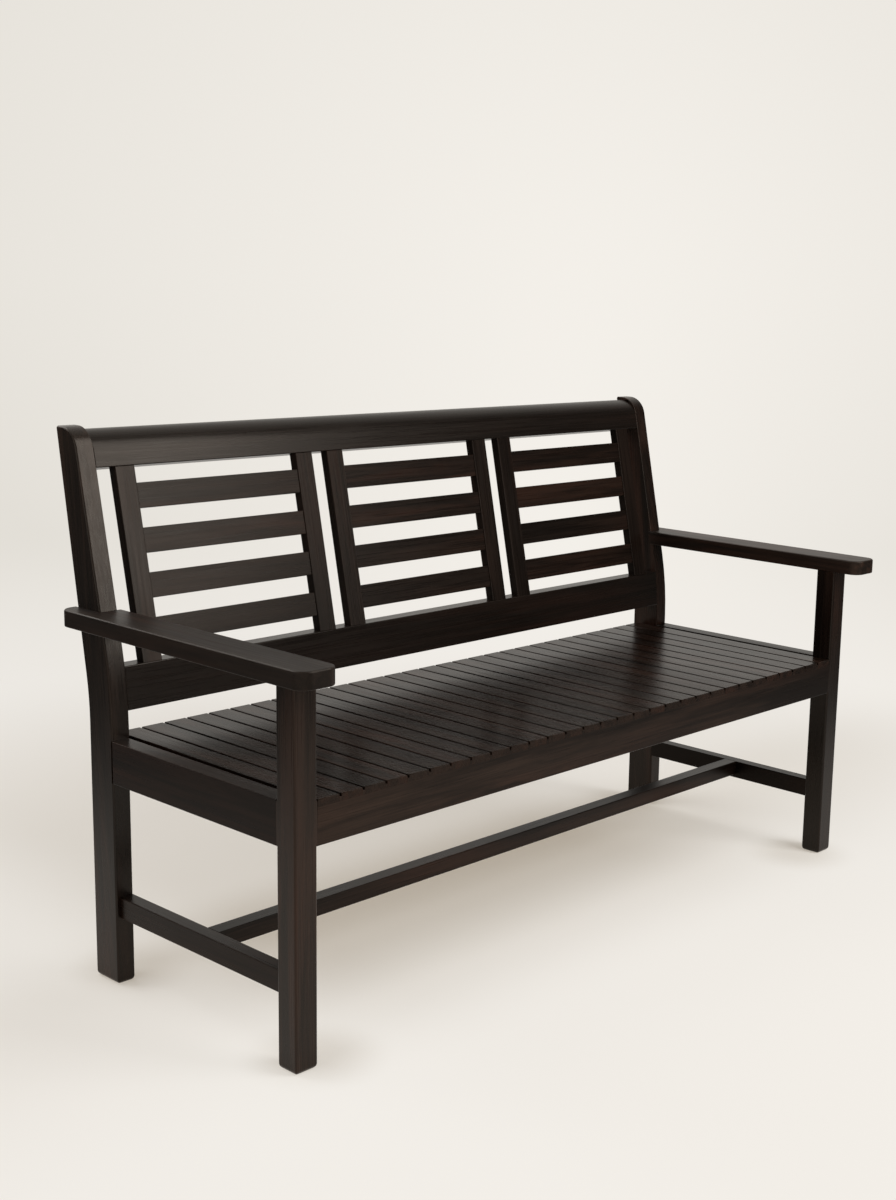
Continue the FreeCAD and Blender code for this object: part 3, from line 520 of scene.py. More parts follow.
class BENCH_OT_rear_posts(Operator):
    """Build the two rear posts, bent above the seat and rolled over at the top."""

    bl_idname = "bench.rear_posts"
    bl_label = "Rear posts"

    def execute(self, context):
        form, soft = shapes(), edges()
        rear = POST_FRONT + form.post_depth
        top_front = POST_FRONT + (POST_TOP - form.bend_height) * math.tan(form.rake)
        top_back = rear + (POST_TOP - form.rear_bend_height) * math.tan(form.rear_rake)
        outline = rounded([
            (POST_FRONT, 0.0, 0.0),
            (POST_FRONT, RAIL_BOTTOM, 0.0),
            (POST_FRONT, SEAT_TOP, 0.0),
            (POST_FRONT, form.bend_height, form.bend_radius),
            (top_front, POST_TOP, form.top_roll),
            (top_back, POST_TOP, soft.leg),
            (rear, form.rear_bend_height, form.rear_bend_radius),
            (rear, 0.0, 0.0),
        ])
        for side, word in SIDES:
            def weigh(line, outer=side * POST_OUTER):
                if lies_at(line, Z, 0.0):
                    return 1.0
                fitted = lies_at(line, Y, POST_FRONT) and beside_rails(line)
                if runs_along(line, X) or fitted:
                    return 0.0
                below = all(end.z < RAIL_BOTTOM + PLAY for end in line)
                if below or lies_at(line, X, outer):
                    return soft.leg / soft.foot
                return INNER_SHARE * soft.leg / soft.foot

            one_board("rear_post_" + word, "post_wood", soft.foot, outline, X,
                      at_side(side, POST_INNER, POST_OUTER), weigh, Z, run_out=POST_RUN_OUT)
        return {"FINISHED"}


class BENCH_OT_arms(Operator):
    """Build the two arms, notched round the outside of the posts."""

    bl_idname = "bench.arms"
    bl_label = "Arms"

    def execute(self, context):
        form, soft = shapes(), edges()
        middle = (ARM_UNDER + ARM_TOP) / 2
        shoulder = POST_FRONT + (middle - form.bend_height) * math.tan(form.rake)
        corners = rounded([
            (LEG_INNER, ARM_LOW.y, form.arm_corner),
            (ARM_HIGH.x, ARM_LOW.y, form.arm_corner),
            (ARM_HIGH.x, ARM_HIGH.y, form.arm_corner),
            (POST_OUTER, ARM_HIGH.y, 0.0),
            (POST_OUTER, shoulder, 0.0),
            (LEG_INNER, shoulder, 0.0),
        ])

        def fit_rake(spot):
            """Lean the shoulder with the front of the post."""
            if near(spot.y, shoulder):
                spot.y += (spot.z - middle) * math.tan(form.rake)
            return spot

        for side, word in SIDES:
            def weigh(line, strip=side * POST_OUTER):
                fitted = lies_at(line, X, strip) or all(
                    abs(end.y - shoulder) < SHOULDER_REACH for end in line)
                if lies_at(line, Z, ARM_TOP):
                    return soft.joint / soft.arm if fitted else 1.0
                if lies_at(line, Z, ARM_UNDER):
                    return 0.0 if fitted else soft.arm_under / soft.arm
                return 0.0

            outline = [Vector((side * point.x, point.y)) for point in corners]
            one_board("arm_" + word, "arm_wood", soft.arm, outline, Z, (ARM_UNDER, ARM_TOP), weigh, Y,
                      shift=fit_rake)
        return {"FINISHED"}


def comb_outline(half, comb_top, play):
    """Outline of a seat rail seen from the front, with a housing cut for every slat."""
    points = [(-half, RAIL_BOTTOM)]
    for name in SLATS:
        low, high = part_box(name)
        left, right = max(low.x - play, -half), min(high.x + play, half)
        if left > -half + LEAST_COMB:
            points.append((points[-1][0], comb_top))
            points.append((left, comb_top))
        points.append((left, SLAT_LOW.z))
        points.append((right, SLAT_LOW.z))
    if half - points[-1][0] > LEAST_COMB:
        points.append((points[-1][0], comb_top))
        points.append((half, comb_top))
    points.append((half, RAIL_BOTTOM))
    return points


class BENCH_OT_seat_rails(Operator):
    """Build the combed front and rear seat rails and the two side rails."""

    bl_idname = "bench.seat_rails"
    bl_label = "Seat rails"

    def execute(self, context):
        form, soft = shapes(), edges()
        comb_top = SEAT_TOP - form.groove_depth

        def weigh(line):
            if lies_at(line, Z, RAIL_BOTTOM) and runs_along(line, X):
                return 1.0
            if lies_at(line, Z, comb_top) and runs_along(line, X):
                return soft.joint / soft.rail
            return 0.0

        for node, half, levels in (
                ("front_seat_rail", LEG_INNER, (FRONT, FRONT + form.front_rail_depth)),
                ("rear_seat_rail", POST_INNER, (SLAT_HIGH.y - form.rear_rail_depth, SLAT_HIGH.y))):
            outline = comb_outline(half, comb_top, form.housing_play)
            one_board(node, "rail_wood", soft.rail, outline, Y, levels, weigh, X)
        for side, word in SIDES:
            outline = box_outline(at_side(side, POST_INNER, POST_OUTER), (RAIL_BOTTOM, SEAT_TOP))
            plain_timber("side_seat_rail_" + word, "side_wood", outline, Y)
        return {"FINISHED"}


class BENCH_OT_seat_slats(Operator):
    """Build the narrow seat slats that run from the front to the back."""

    bl_idname = "bench.seat_slats"
    bl_label = "Seat slats"

    def execute(self, context):
        soft = edges()

        def weigh(line):
            return 1.0 if lies_at(line, Z, SEAT_TOP) else 0.0

        # Each cut end takes the front rail's tone at its place, painted fall-off of light from left to right
        # and all, lifted by CUT_SHADE
        shade, last_shade = STAIN_AND_PAINTED_LIGHT["front_seat_rail"]
        for node in SLATS:
            low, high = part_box(node)
            outline = box_outline((low.x, high.x), (low.z, high.z))
            breaks = [low.y + reach for reach in (CUT_RUN, *SLAT_BREAKS)]
            levels = (low.y, *breaks, high.y - CUT_RUN, high.y)
            way = (low.x + LEG_INNER) / (2 * LEG_INNER)
            one_board(node, "seat_wood", soft.slat, outline, Y, levels, weigh, Y,
                      cut=shade + (last_shade - shade) * way + CUT_SHADE)
        return {"FINISHED"}


class BENCH_OT_bearer(Operator):
    """Build the flat bearer under the seat slats."""

    bl_idname = "bench.bearer"
    bl_label = "Seat bearer"

    def execute(self, context):
        outline = box_outline((BEARER_LOW.y, BEARER_HIGH.y), (BEARER_LOW.z, BEARER_HIGH.z))
        plain_timber("seat_bearer", "rail_wood", outline, X, jointed=False)
        return {"FINISHED"}


class BENCH_OT_slat_screws(Operator):
    """Build the domed heads of the screws that hold the slats from below."""

    bl_idname = "bench.slat_screws"
    bl_label = "Slat screws"

    SIDES = 20
    # Rings from the rim to the walls of the cross recess, as shares of the head's radius and rise
    DOME = ((1.0, 0.0), (0.97, 0.38), (0.82, 0.72), (0.60, 0.92), (0.42, 1.0))
    # The recess comes in between its arms: reach of an arm, reach between two, and two depths
    ARM, BETWEEN = 0.40, 0.14
    RECESS = (0.0, 0.62)

    def execute(self, context):
        low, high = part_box("slat_screws")
        middle = (low.y + high.y) / 2
        radius = (high.y - low.y) / 2
        under = BEARER_LOW.z
        rise = under - low.z
        cross = [radius * (self.ARM if step % 5 in (0, 4) else self.BETWEEN) for step in range(self.SIDES)]
        mesh = bmesh.new()
        for name in SLATS:
            first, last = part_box(name)
            centre = ((first.x + last.x) / 2, middle)
            turn = random.Random(name).uniform(0.0, math.pi / 2)
            loops = [ring_of(mesh, centre, [radius * out] * self.SIDES, under - rise * down, turn)
                     for out, down in self.DOME]
            loops += [ring_of(mesh, centre, cross, under - rise * (1.0 - deep), turn) for deep in self.RECESS]
            join_rings(mesh, loops)
            mesh.faces.new(loops[-1])
        bmesh.ops.recalc_face_normals(mesh, faces=mesh.faces)
        heads = to_object(mesh, "slat_screw_heads")
        heads.data.shade_smooth()
        heads.data.set_sharp_from_angle(angle=SCREW_SHARP_ANGLE)
        stand_for(heads, "screw_steel", "slat_screws")
        return {"FINISHED"}


class BENCH_OT_stretchers(Operator):
    """Build the two side stretchers and the centre stretcher between them."""

    bl_idname = "bench.stretchers"
    bl_label = "Stretchers"

    def execute(self, context):
        for side, word in SIDES:
            outline = box_outline(at_side(side, POST_INNER, STRETCHER_HIGH.x),
                                  (STRETCHER_LOW.z, STRETCHER_HIGH.z))
            plain_timber("side_stretcher_" + word, "side_wood", outline, Y)
        outline = box_outline((CENTRE_LOW.y, CENTRE_HIGH.y), (CENTRE_LOW.z, CENTRE_HIGH.z))
        plain_timber("centre_stretcher", "rail_wood", outline, X)
        return {"FINISHED"}


class BENCH_OT_crest_rail(Operator):
    """Build the crest rail with its rolled top."""

    bl_idname = "bench.crest_rail"
    bl_label = "Crest rail"

    def execute(self, context):
        form, soft = shapes(), edges()
        top = crest_top()
        foot = top - form.crest_height
        outline = rounded([
            (0.0, foot, 0.0),
            (form.crest_depth, foot, 0.0),
            (form.crest_depth, top + form.crest_depth * math.tan(form.rake), CREST_BACK_RADIUS),
            (0.0, top, form.top_roll),
        ])

        def weigh(line):
            if any(lies_at(line, X, end) for end in POST_ENDS):
                return soft.joint / soft.rail
            return 1.0 if lies_at(line, Z, foot) else 0.0

        one_board("crest_rail", "back_rail_wood", soft.rail, outline, X, POST_ENDS, weigh, X,
                  lean=back_frame())
        return {"FINISHED"}


class BENCH_OT_lower_back_rail(Operator):
    """Build the lower back rail that follows the bend of the posts."""

    bl_idname = "bench.lower_back_rail"
    bl_label = "Lower back rail"

    def execute(self, context):
        plain_timber("lower_back_rail", "back_rail_wood", lower_rail_outline(), X, lean=back_frame())
        return {"FINISHED"}


class BENCH_OT_back_stiles(Operator):
    """Build the six upright stiles of the back."""

    bl_idname = "bench.back_stiles"
    bl_label = "Back stiles"

    def execute(self, context):
        form, soft = shapes(), edges()
        head = crest_top() - form.crest_height
        front, back = form.stile_recess, form.stile_recess + form.stile_depth
        outline = [(front, level_foot(front)), (back, level_foot(back)), (back, head), (front, head)]

        def weigh(line):
            upright = abs(line[0].z - line[1].z) > form.crest_height
            return 1.0 if upright else soft.joint / soft.back

        for number, left in enumerate(stile_lefts(), start=1):
            one_board("back_stile_%d" % number, "stile_wood", soft.back, outline, X,
                      (left, left + form.stile_width), weigh, Z, lean=back_frame())
        return {"FINISHED"}


class BENCH_OT_back_slats(Operator):
    """Build the slats of the three back panels."""

    bl_idname = "bench.back_slats"
    bl_label = "Back slats"

    def execute(self, context):
        form, soft = shapes(), edges()
        lefts = stile_lefts()
        front = form.stile_recess + form.slat_recess
        foot = level_foot(front) + form.slat_end_gap
        head = crest_top() - form.crest_height - form.slat_end_gap
        pitch = (head - foot - form.slat_height) / (form.slat_count - 1)
        for number, word in enumerate(PANELS):
            panel = Timber("back_slats_" + word, soft.back)
            ends = (lefts[2 * number] + form.stile_width, lefts[2 * number + 1])
            for row in range(form.slat_count):
                low = foot + row * pitch
                outline = box_outline((front, front + form.slat_depth), (low, low + form.slat_height))
                panel.board(outline, X, ends, long_edges(X, ends, 0.0), X, lean=back_frame())
            panel.finish("back_slat_wood")
        return {"FINISHED"}


# Shaders

BLACK = (0.0, 0.0, 0.0)
NODE_COLUMNS, NODE_WIDTH, NODE_HEIGHT = 8, 200, 320


class Nodes:
    """A shader tree, whose nodes go in a grid in the order in which they are added."""

    def __init__(self, tree):
        self.tree = tree

    def feed(self, node, inputs):
        """Give a node its inputs: a socket is linked, and a number, vector or colour is set."""
        for key, value in inputs.items():
            socket = node.inputs[key]
            if hasattr(value, "is_output"):
                self.tree.links.new(value, socket)
            else:
                socket.default_value = (*value, 1.0) if socket.type == "RGBA" else value
        return node

    def add(self, kind, inputs=None, **settings):
        """Add a shader node with its inputs and settings."""
        node = self.tree.nodes.new("ShaderNode" + kind)
        row, column = divmod(len(self.tree.nodes), NODE_COLUMNS)
        node.location = (column * NODE_WIDTH, -row * NODE_HEIGHT)
        for name, value in settings.items():
            setattr(node, name, value)
        return self.feed(node, inputs or {})

    def numbers(self, operation, *sources):
        """Work out a number from sockets or plain numbers."""
        return self.add("Math", dict(enumerate(sources)), operation=operation).outputs[0]

    def vectors(self, operation, *sources):
        """Work out a vector, or its measure, from sockets or plain vectors."""
        node = self.add("VectorMath", dict(enumerate(sources)), operation=operation)
        return node.outputs["Value" if operation in ("DOT_PRODUCT", "DISTANCE", "LENGTH") else "Vector"]

    def product(self, *factors):
        """Multiply sockets or plain numbers."""
        result = factors[0]
        for factor in factors[1:]:
            result = self.numbers("MULTIPLY", result, factor)
        return result

    def noise(self, vector, scale, detail=3.0, roughness=0.55, distortion=0.0):
        """A noise with its own scale along each axis of a vector."""
        return self.add("TexNoise", {
            "Vector": self.vectors("MULTIPLY", vector, scale), "Scale": 1.0, "Detail": detail,
            "Roughness": roughness, "Distortion": distortion}).outputs["Fac"]

    def ranged(self, source, low, high, to_low=0.0, to_high=1.0):
        """Carry a value smoothly from one range to another."""
        return self.add("MapRange", {
            "Value": source, "From Min": low, "From Max": high, "To Min": to_low, "To Max": to_high},
            interpolation_type="SMOOTHSTEP").outputs["Result"]

    def mix(self, factor, one, other):
        """Mix two colours by a factor."""
        return self.add("Mix", {0: factor, 6: one, 7: other}, data_type="RGBA").outputs[2]


def new_group(name, inputs, outputs):
    """Start a shader node group whose sockets are given as name: kind. It comes back as its nodes,
    the sockets that bring its inputs and the node that takes its results."""
    tree = bpy.data.node_groups.new(name, "ShaderNodeTree")
    for way, sockets in (("INPUT", inputs), ("OUTPUT", outputs)):
        for label, kind in sockets.items():
            tree.interface.new_socket(name=label, in_out=way, socket_type="NodeSocket" + kind)
    given = tree.nodes.new("NodeGroupInput").outputs
    result = tree.nodes.new("NodeGroupOutput")
    result.location = (NODE_COLUMNS * NODE_WIDTH, 0)
    return Nodes(tree), given, result


def new_material(name):
    """Start a material, and return its nodes and its shader."""
    material = bpy.data.materials.new(name)
    material.use_nodes = True
    return Nodes(material.node_tree), material.node_tree.nodes["Principled BSDF"]


# Finishes

# Figure, fibre, pores and cloud: repeats a metre along and across the grain, detail, roughness and
# distortion of the noise, and the range of it that counts
GRAIN_NOISE = (
    (2.4, 42.0, (4.0, 0.60, 0.7), (0.34, 0.68)),
    (7.0, 420.0, (4.0, 0.65), (0.30, 0.72)),
    (42.0, 1500.0, (2.0, 0.60), (0.56, 0.70)),
    (1.3, 7.0, (2.0, 0.50), (0.35, 0.70)),
)
FIBRE_SHARE = 0.32  # of the fine fibres in the streaks
TONE_SHARE = 0.55  # of the board's tone: its stain, and for some boards painted light
FULL_STREAK = 1.15  # where streaks are at their lightest
RED_SHARE = 0.65
PORE_SHARE = 0.35
PORE_COLOUR = (0.0012, 0.0008, 0.0006)
FIBRE_RISE = 0.5  # of the fibres against the depth of the pores

EDGE_HIGHLIGHT_TURN = (0.02, 0.16)  # how far the normal turns where the lighter edge starts, and where it is full
EDGE_HIGHLIGHT_PATCHES = (0.42, 0.68)
RUBBED_GLOSS = 0.12  # how much smoother the lacquer is along the lighter edges
ROUGHNESS_VARIATION = 0.10
EDGE_RADIUS = 0.0028
WAVE_DEPTH = 0.0020
GRAIN_DEPTH = 0.0005
LACQUER_TINT = (1.0, 0.90, 0.80)

# Slot, share of the figure, lift of the streaks, added roughness, waviness and sheen
STAINED_SLOTS = (
    ("post_wood", 0.37, 1.40, 0.0, 0.06, 0.255),
    ("arm_wood", 0.38, 1.30, 0.12, 0.02, 0.22),
    ("side_wood", 0.40, 0.75, 0.02, 0.06, 0.13),
    ("rail_wood", 0.34, 2.05, 0.02, 0.05, 0.14),
    ("back_rail_wood", 0.36, 0.48, 0.0, 0.05, 0.24),
    ("stile_wood", 0.38, 0.85, 0.0, 0.05, 0.16),
    ("back_slat_wood", 0.38, 0.95, 0.0, 0.05, 0.16),
    ("seat_wood", 0.42, 1.05, -0.02, 0.06, 0.12),
)


def make_grain_group():
    """Stained grain: long figure, fine fibres and short open pores along the board."""
    nodes, given, result = new_group(
        "Stained grain",
        {"Grain": "Vector", "Stain and light": "Float", "Figure": "Float", "Stain": "Color", "Streak": "Color",
         "Red": "Color"},
        {"Color": "Color", "Fibre": "Float", "Height": "Float"})
    figure, fibre, pores, cloud = (
        nodes.ranged(nodes.noise(given["Grain"], (along, across, across), *noise), *counts)
        for along, across, noise, counts in GRAIN_NOISE)
    mixed = nodes.numbers("ADD", nodes.product(figure, given["Figure"]), nodes.product(fibre, FIBRE_SHARE))
    tone = nodes.product(nodes.numbers("SUBTRACT", given["Stain and light"], 0.5), TONE_SHARE)
    held = nodes.ranged(nodes.numbers("ADD", mixed, tone), 0.0, FULL_STREAK)
    stained = nodes.mix(held, given["Stain"], given["Streak"])
    warmed = nodes.mix(nodes.product(figure, RED_SHARE, cloud), stained, given["Red"])
    nodes.feed(result, {
        "Color": nodes.mix(nodes.product(pores, PORE_SHARE), warmed, PORE_COLOUR),
        "Fibre": fibre,
        "Height": nodes.numbers("SUBTRACT", nodes.product(fibre, FIBRE_RISE), pores)})
    return nodes.tree


def make_edge_highlight_group():
    """Edge wear and painted edge highlight: lighter wood where the softened normal leaves the face's own,
    broken up along the edge.
    """
    nodes, given, result = new_group(
        "Rubbed edges",
        {"Softened Normal": "Vector", "Face Normal": "Vector", "Grain": "Vector", "Color": "Color",
         "Rubbed and highlit": "Color", "Amount": "Float"},
        {"Color": "Color", "Mask": "Float"})
    facing = nodes.vectors("DOT_PRODUCT", given["Softened Normal"], given["Face Normal"])
    edge = nodes.ranged(nodes.numbers("SUBTRACT", 1.0, facing), *EDGE_HIGHLIGHT_TURN)
    patchy = nodes.ranged(nodes.noise(given["Grain"], (14.0, 60.0, 60.0), 3.0, 0.6), *EDGE_HIGHLIGHT_PATCHES)
    mask = nodes.product(edge, patchy, given["Amount"])
    nodes.feed(result, {"Color": nodes.mix(mask, given["Color"], given["Rubbed and highlit"]), "Mask": mask})
    return nodes.tree


def make_lacquer_group():
    """Satin lacquer: roughness with brush streaks along the grain, hand smudges and smoother worn edges."""
    nodes, given, result = new_group(
        "Satin lacquer",
        {"Grain": "Vector", "Fibre": "Float", "Edge": "Float", "Base": "Float", "Variation": "Float"},
        {"Roughness": "Float", "Waviness": "Float"})
    smudge = nodes.noise(given["Grain"], (5.0, 11.0, 11.0), 3.0, 0.6)
    brush = nodes.noise(given["Grain"], (3.0, 160.0, 160.0), 2.0, 0.5)
    # Three patterns whose means are a half each, so that they vary about nought
    uneven = nodes.numbers("ADD", nodes.numbers("ADD", smudge, brush), given["Fibre"])
    uneven = nodes.numbers("SUBTRACT", uneven, 1.5)
    rough = nodes.numbers("MULTIPLY_ADD", uneven, given["Variation"], given["Base"])
    nodes.feed(result, {
        "Roughness": nodes.numbers("SUBTRACT", rough, nodes.product(given["Edge"], RUBBED_GLOSS)),
        "Waviness": nodes.noise(given["Grain"], (3.5, 26.0, 26.0), 1.0, 0.4)})
    return nodes.tree


def stained_wood(slot, figure, lift, rough, relief, sheen, grain_group, edge_highlight_group, lacquer_group):
    """Make the stained and lacquered wood of one slot. lift brightens its streaks, rough is its
    roughness, relief is how far its grain stands out, and sheen is how much it mirrors head on."""
    tint = finish()
    nodes, shader = new_material(slot + "_finish")
    grain = nodes.add("Attribute", attribute_name="grain").outputs["Vector"]
    stain = nodes.add("Group", {
        "Grain": grain, "Stain and light": nodes.add("Attribute", attribute_name="tone").outputs["Fac"],
        "Figure": figure, "Stain": tint.dark,
        "Streak": [channel * lift for channel in tint.light],
        "Red": [channel * lift for channel in tint.warm]}, node_tree=grain_group).outputs
    # Lighter wood along the softened edges: partly wear, partly a painted highlight
    edge = nodes.add("Group", {
        "Softened Normal": nodes.add("Bevel", {"Radius": EDGE_RADIUS}, samples=3).outputs["Normal"],
        "Face Normal": nodes.add("NewGeometry").outputs["True Normal"],
        "Grain": grain, "Color": stain["Color"], "Rubbed and highlit": tint.rubbed_and_highlit, "Amount": tint.rub_and_highlight},
        node_tree=edge_highlight_group).outputs
    lacquer = nodes.add("Group", {
        "Grain": grain, "Fibre": stain["Fibre"], "Edge": edge["Mask"], "Base": rough,
        "Variation": ROUGHNESS_VARIATION}, node_tree=lacquer_group).outputs
    wave = nodes.add("Bump", {"Strength": relief, "Distance": WAVE_DEPTH, "Height": lacquer["Waviness"]})
    bump = nodes.add("Bump", {"Strength": relief * tint.relief, "Distance": GRAIN_DEPTH,
                              "Height": stain["Height"], "Normal": wave.outputs["Normal"]})
    nodes.feed(shader, {
        "Base Color": edge["Color"], "Roughness": lacquer["Roughness"], "Normal": bump.outputs["Normal"],
        "Specular IOR Level": sheen, "Specular Tint": LACQUER_TINT})


def raw_wood():
    """Make the pale raw wood of the hidden dowels."""
    nodes, shader = new_material("dowel_wood_finish")
    place = nodes.add("TexCoord").outputs["Object"]
    rings = nodes.noise(place, (500.0, 12.0, 500.0), 4.0)
    nodes.feed(shader, {"Base Color": nodes.mix(rings, (0.36, 0.22, 0.11), (0.62, 0.44, 0.26)),
                        "Roughness": 0.7})


def zinc_steel():
    """Make the bright zinc of the screw heads."""
    nodes, shader = new_material("screw_steel_finish")
    place = nodes.add("TexCoord").outputs["Object"]
    blotch = nodes.noise(place, (900.0, 900.0, 900.0))
    nodes.feed(shader, {"Base Color": nodes.mix(blotch, (0.42, 0.42, 0.41), (0.68, 0.67, 0.64)),
                        "Roughness": nodes.ranged(blotch, 0.3, 0.7, 0.28, 0.46), "Metallic": 1.0})


class BENCH_OT_finishes(Operator):
    """Make the finishes, and give the hidden dowels theirs."""

    bl_idname = "bench.finishes"
    bl_label = "Finishes"

    def execute(self, context):
        gloss = finish().gloss
        groups = (make_grain_group(), make_edge_highlight_group(), make_lacquer_group())
        for slot, figure, lift, rougher, relief, sheen in STAINED_SLOTS:
            stained_wood(slot, figure, lift, gloss + rougher, relief, sheen, *groups)
        raw_wood()
        zinc_steel()
        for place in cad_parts["arm_dowels"].material_slots:
            place.material = bpy.data.materials["dowel_wood_finish"]
        return {"FINISHED"}


# Studio

RIGHT = (0.669, -0.743, 0.0)  # level way to the right of the photograph
AHEAD = (0.743, 0.669, 0.0)  # level way into the photograph
BACKDROP_FALL = 2.9  # how fast the backdrop's tone falls away from its brightest place

FLOOR_RINGS = (1.0, 2.0, 4.0, 9.0, 30.0, 120.0, 600.0)
FLOOR_SIDES = 96
# Distances on the floor between which something begins and ends, in metres
# Where the floor's painted shade, its band behind the bench and its darker left side, begins and ends
COVE_SHADE_NEAR, COVE_SHADE_FAR = (-0.30, 0.50), (1.10, 5.00)
LEFT_FLOOR_SHADE = (-1.3, 0.3)
FAR_FLOOR = (1.6, 5.0)
# How far aside the painted shade in reflections of the floor begins and is full
FLOOR_REFLECTION_SHADE = (1.0, 2.3)
SHADOW_FRONT, SHADOW_BACK = (-0.40, 0.20), (0.20, 0.45)
SHADOW_LEFT, SHADOW_RIGHT = (-0.75, -0.35), (0.35, 0.75)
SHADOW_REACH = (1.0, 2.2)
FOOT, FOOT_REACH = (0.655, 0.235, 0.0), (0.02, 0.13)
# How much of the shadow is left at its back, left and right ends
BACK_END, LEFT_END, RIGHT_END = 0.60, 0.40, 0.65
SHADOW_TINT = (0.96, 1.02, 1.10)
FLOOR_BOUNCE = (0.78, 0.76, 0.72)  # the floor as other surfaces are lit by it
SKY_REFLECTION_SHADE = (0.30, 0.80)  # how far aside the painted shade in reflections of the sky begins and is full
SKY_COLOUR = (1.0, 0.985, 0.96)

# Lamps: name, degrees round from the right and up, width and height in metres
LAMPS = (("front_lamp", -67.0, 36.0, 1.4, 3.2), ("left_lamp", 180.0, 15.0, 1.6, 1.6),
         ("rear_lamp", 118.0, 42.0, 2.2, 2.2))
LAMP_COLOUR = (1.0, 0.970, 0.935)
LAMP_DISTANCE = 3.0
LAMP_TARGET = Vector((0.0, 0.0, 0.5))

SENSOR_WIDTH = 36.0
PICTURE_HEIGHT = 1200.0
PICTURE_SHIFT = (-92.0, 10.0)  # pixels from the picture's middle to the camera's axis
CLIP_END = 500.0


def make_backdrop_group():
    """Backdrop tone for a direction: brightest where the backdrop is lit, a little darker all round."""
    look = studio()
    nodes, given, result = new_group("Backdrop tone", {"Direction": "Vector"}, {"Color": "Color"})
    unit = nodes.vectors("NORMALIZE", given["Direction"])
    facing = nodes.vectors("DOT_PRODUCT", unit, Vector(look.lit_direction).normalized())
    away = nodes.numbers("MAXIMUM", nodes.numbers("SUBTRACT", 1.0, facing), 0.0)
    spread = nodes.numbers("SQRT", nodes.numbers("ADD", away, 0.001))
    fall = nodes.numbers("MINIMUM", nodes.product(spread, BACKDROP_FALL), 1.0)
    nodes.feed(result, {"Color": nodes.mix(fall, look.backdrop, look.backdrop_edge)})
    return nodes.tree


def shown_mask(nodes):
    """A mask of the rays that show the backdrop: camera, gloss and glass."""
    path = nodes.add("LightPath").outputs
    shown = nodes.numbers("MAXIMUM", path["Is Camera Ray"], path["Is Glossy Ray"])
    return nodes.numbers("MAXIMUM", shown, path["Is Transmission Ray"])


def shaded_in_reflections(nodes, side, reach, tone):
    """A tone darkened beside the bench by painted shade that only the lacquer's reflections see."""
    beside = nodes.ranged(nodes.numbers("ABSOLUTE", side), *reach)
    mirrored = nodes.add("LightPath").outputs["Is Glossy Ray"]
    return nodes.mix(nodes.product(beside, studio().painted_room_shade, mirrored), tone, BLACK)


def make_lamp(name, azimuth, elevation, width, height):
    """A soft lamp aimed at the bench. The setting of its name is how bright its face is, 1 for white."""
    azimuth, elevation = math.radians(azimuth), math.radians(elevation)
    data = bpy.data.lights.new(name, "AREA")
    data.shape = "RECTANGLE"
    data.size = width
    data.size_y = height
    data.energy = math.pi * width * height * getattr(studio(), name)
    data.color = LAMP_COLOUR
    way = Vector((math.cos(azimuth) * math.cos(elevation), math.sin(azimuth) * math.cos(elevation),
                  math.sin(elevation)))
    holder = bpy.data.objects.new(name, data)
    holder.location = LAMP_TARGET + way * LAMP_DISTANCE
    holder.rotation_euler = (-way).to_track_quat("-Z", "Y").to_euler()
    holder.visible_camera = False
    bpy.context.scene.collection.objects.link(holder)


def make_floor(backdrop):
    """A wide floor disc in rings that runs out into the backdrop."""
    mesh = bmesh.new()
    rings = [ring_of(mesh, (0.0, 0.0), [reach] * FLOOR_SIDES, 0.0) for reach in FLOOR_RINGS]
    mesh.faces.new(rings[0])
    join_rings(mesh, rings)
    bmesh.ops.recalc_face_normals(mesh, faces=mesh.faces)
    ground = to_object(mesh, "studio_floor")
    nodes, shader = new_material("studio_floor")
    place = nodes.add("TexCoord").outputs["Object"]
    side = nodes.vectors("DOT_PRODUCT", place, RIGHT)
    reach = nodes.vectors("LENGTH", place)
    tone = floor_tone(nodes, backdrop, place, side, reach)
    shaded = floor_shadow(nodes, place, reach)
    # The part of the tone that takes light shows the shadow, and the rest glows by itself
    tinted = nodes.vectors("MULTIPLY", tone, SHADOW_TINT)
    taking = nodes.add("VectorMath", {0: tinted, "Scale": shaded}, operation="SCALE").outputs["Vector"]
    # What glows by itself, with painted shade at the sides that only reflections see
    own = shaded_in_reflections(nodes, side, FLOOR_REFLECTION_SHADE, nodes.vectors("SUBTRACT", tone, taking))
    shown = shown_mask(nodes)
    nodes.feed(shader, {
        "Base Color": nodes.mix(shown, FLOOR_BOUNCE, taking),
        "Emission Color": nodes.mix(shown, BLACK, own), "Emission Strength": 1.0,
        "Roughness": 1.0, "Specular IOR Level": 0.0})
    ground.data.materials.append(bpy.data.materials["studio_floor"])


def floor_tone(nodes, backdrop, place, side, reach):
    """The floor without its shadow, with painted shade: a darker band behind the bench, where a backdrop
    would turn up, and a darker left side.
    """
    look = studio()
    depth = nodes.vectors("DOT_PRODUCT", place, AHEAD)
    cove_shade = nodes.product(nodes.ranged(depth, *COVE_SHADE_NEAR), nodes.ranged(depth, *COVE_SHADE_FAR, 1.0, 0.0), look.cove_shade)
    lit = nodes.product(nodes.numbers("SUBTRACT", 1.0, cove_shade),
                        nodes.ranged(side, *LEFT_FLOOR_SHADE, look.left, 1.0))
    near_tone = nodes.mix(lit, BLACK, look.floor)
    far_tone = nodes.add("Group", {"Direction": place}, node_tree=backdrop).outputs["Color"]
    return nodes.mix(nodes.ranged(reach, *FAR_FLOOR), near_tone, far_tone)


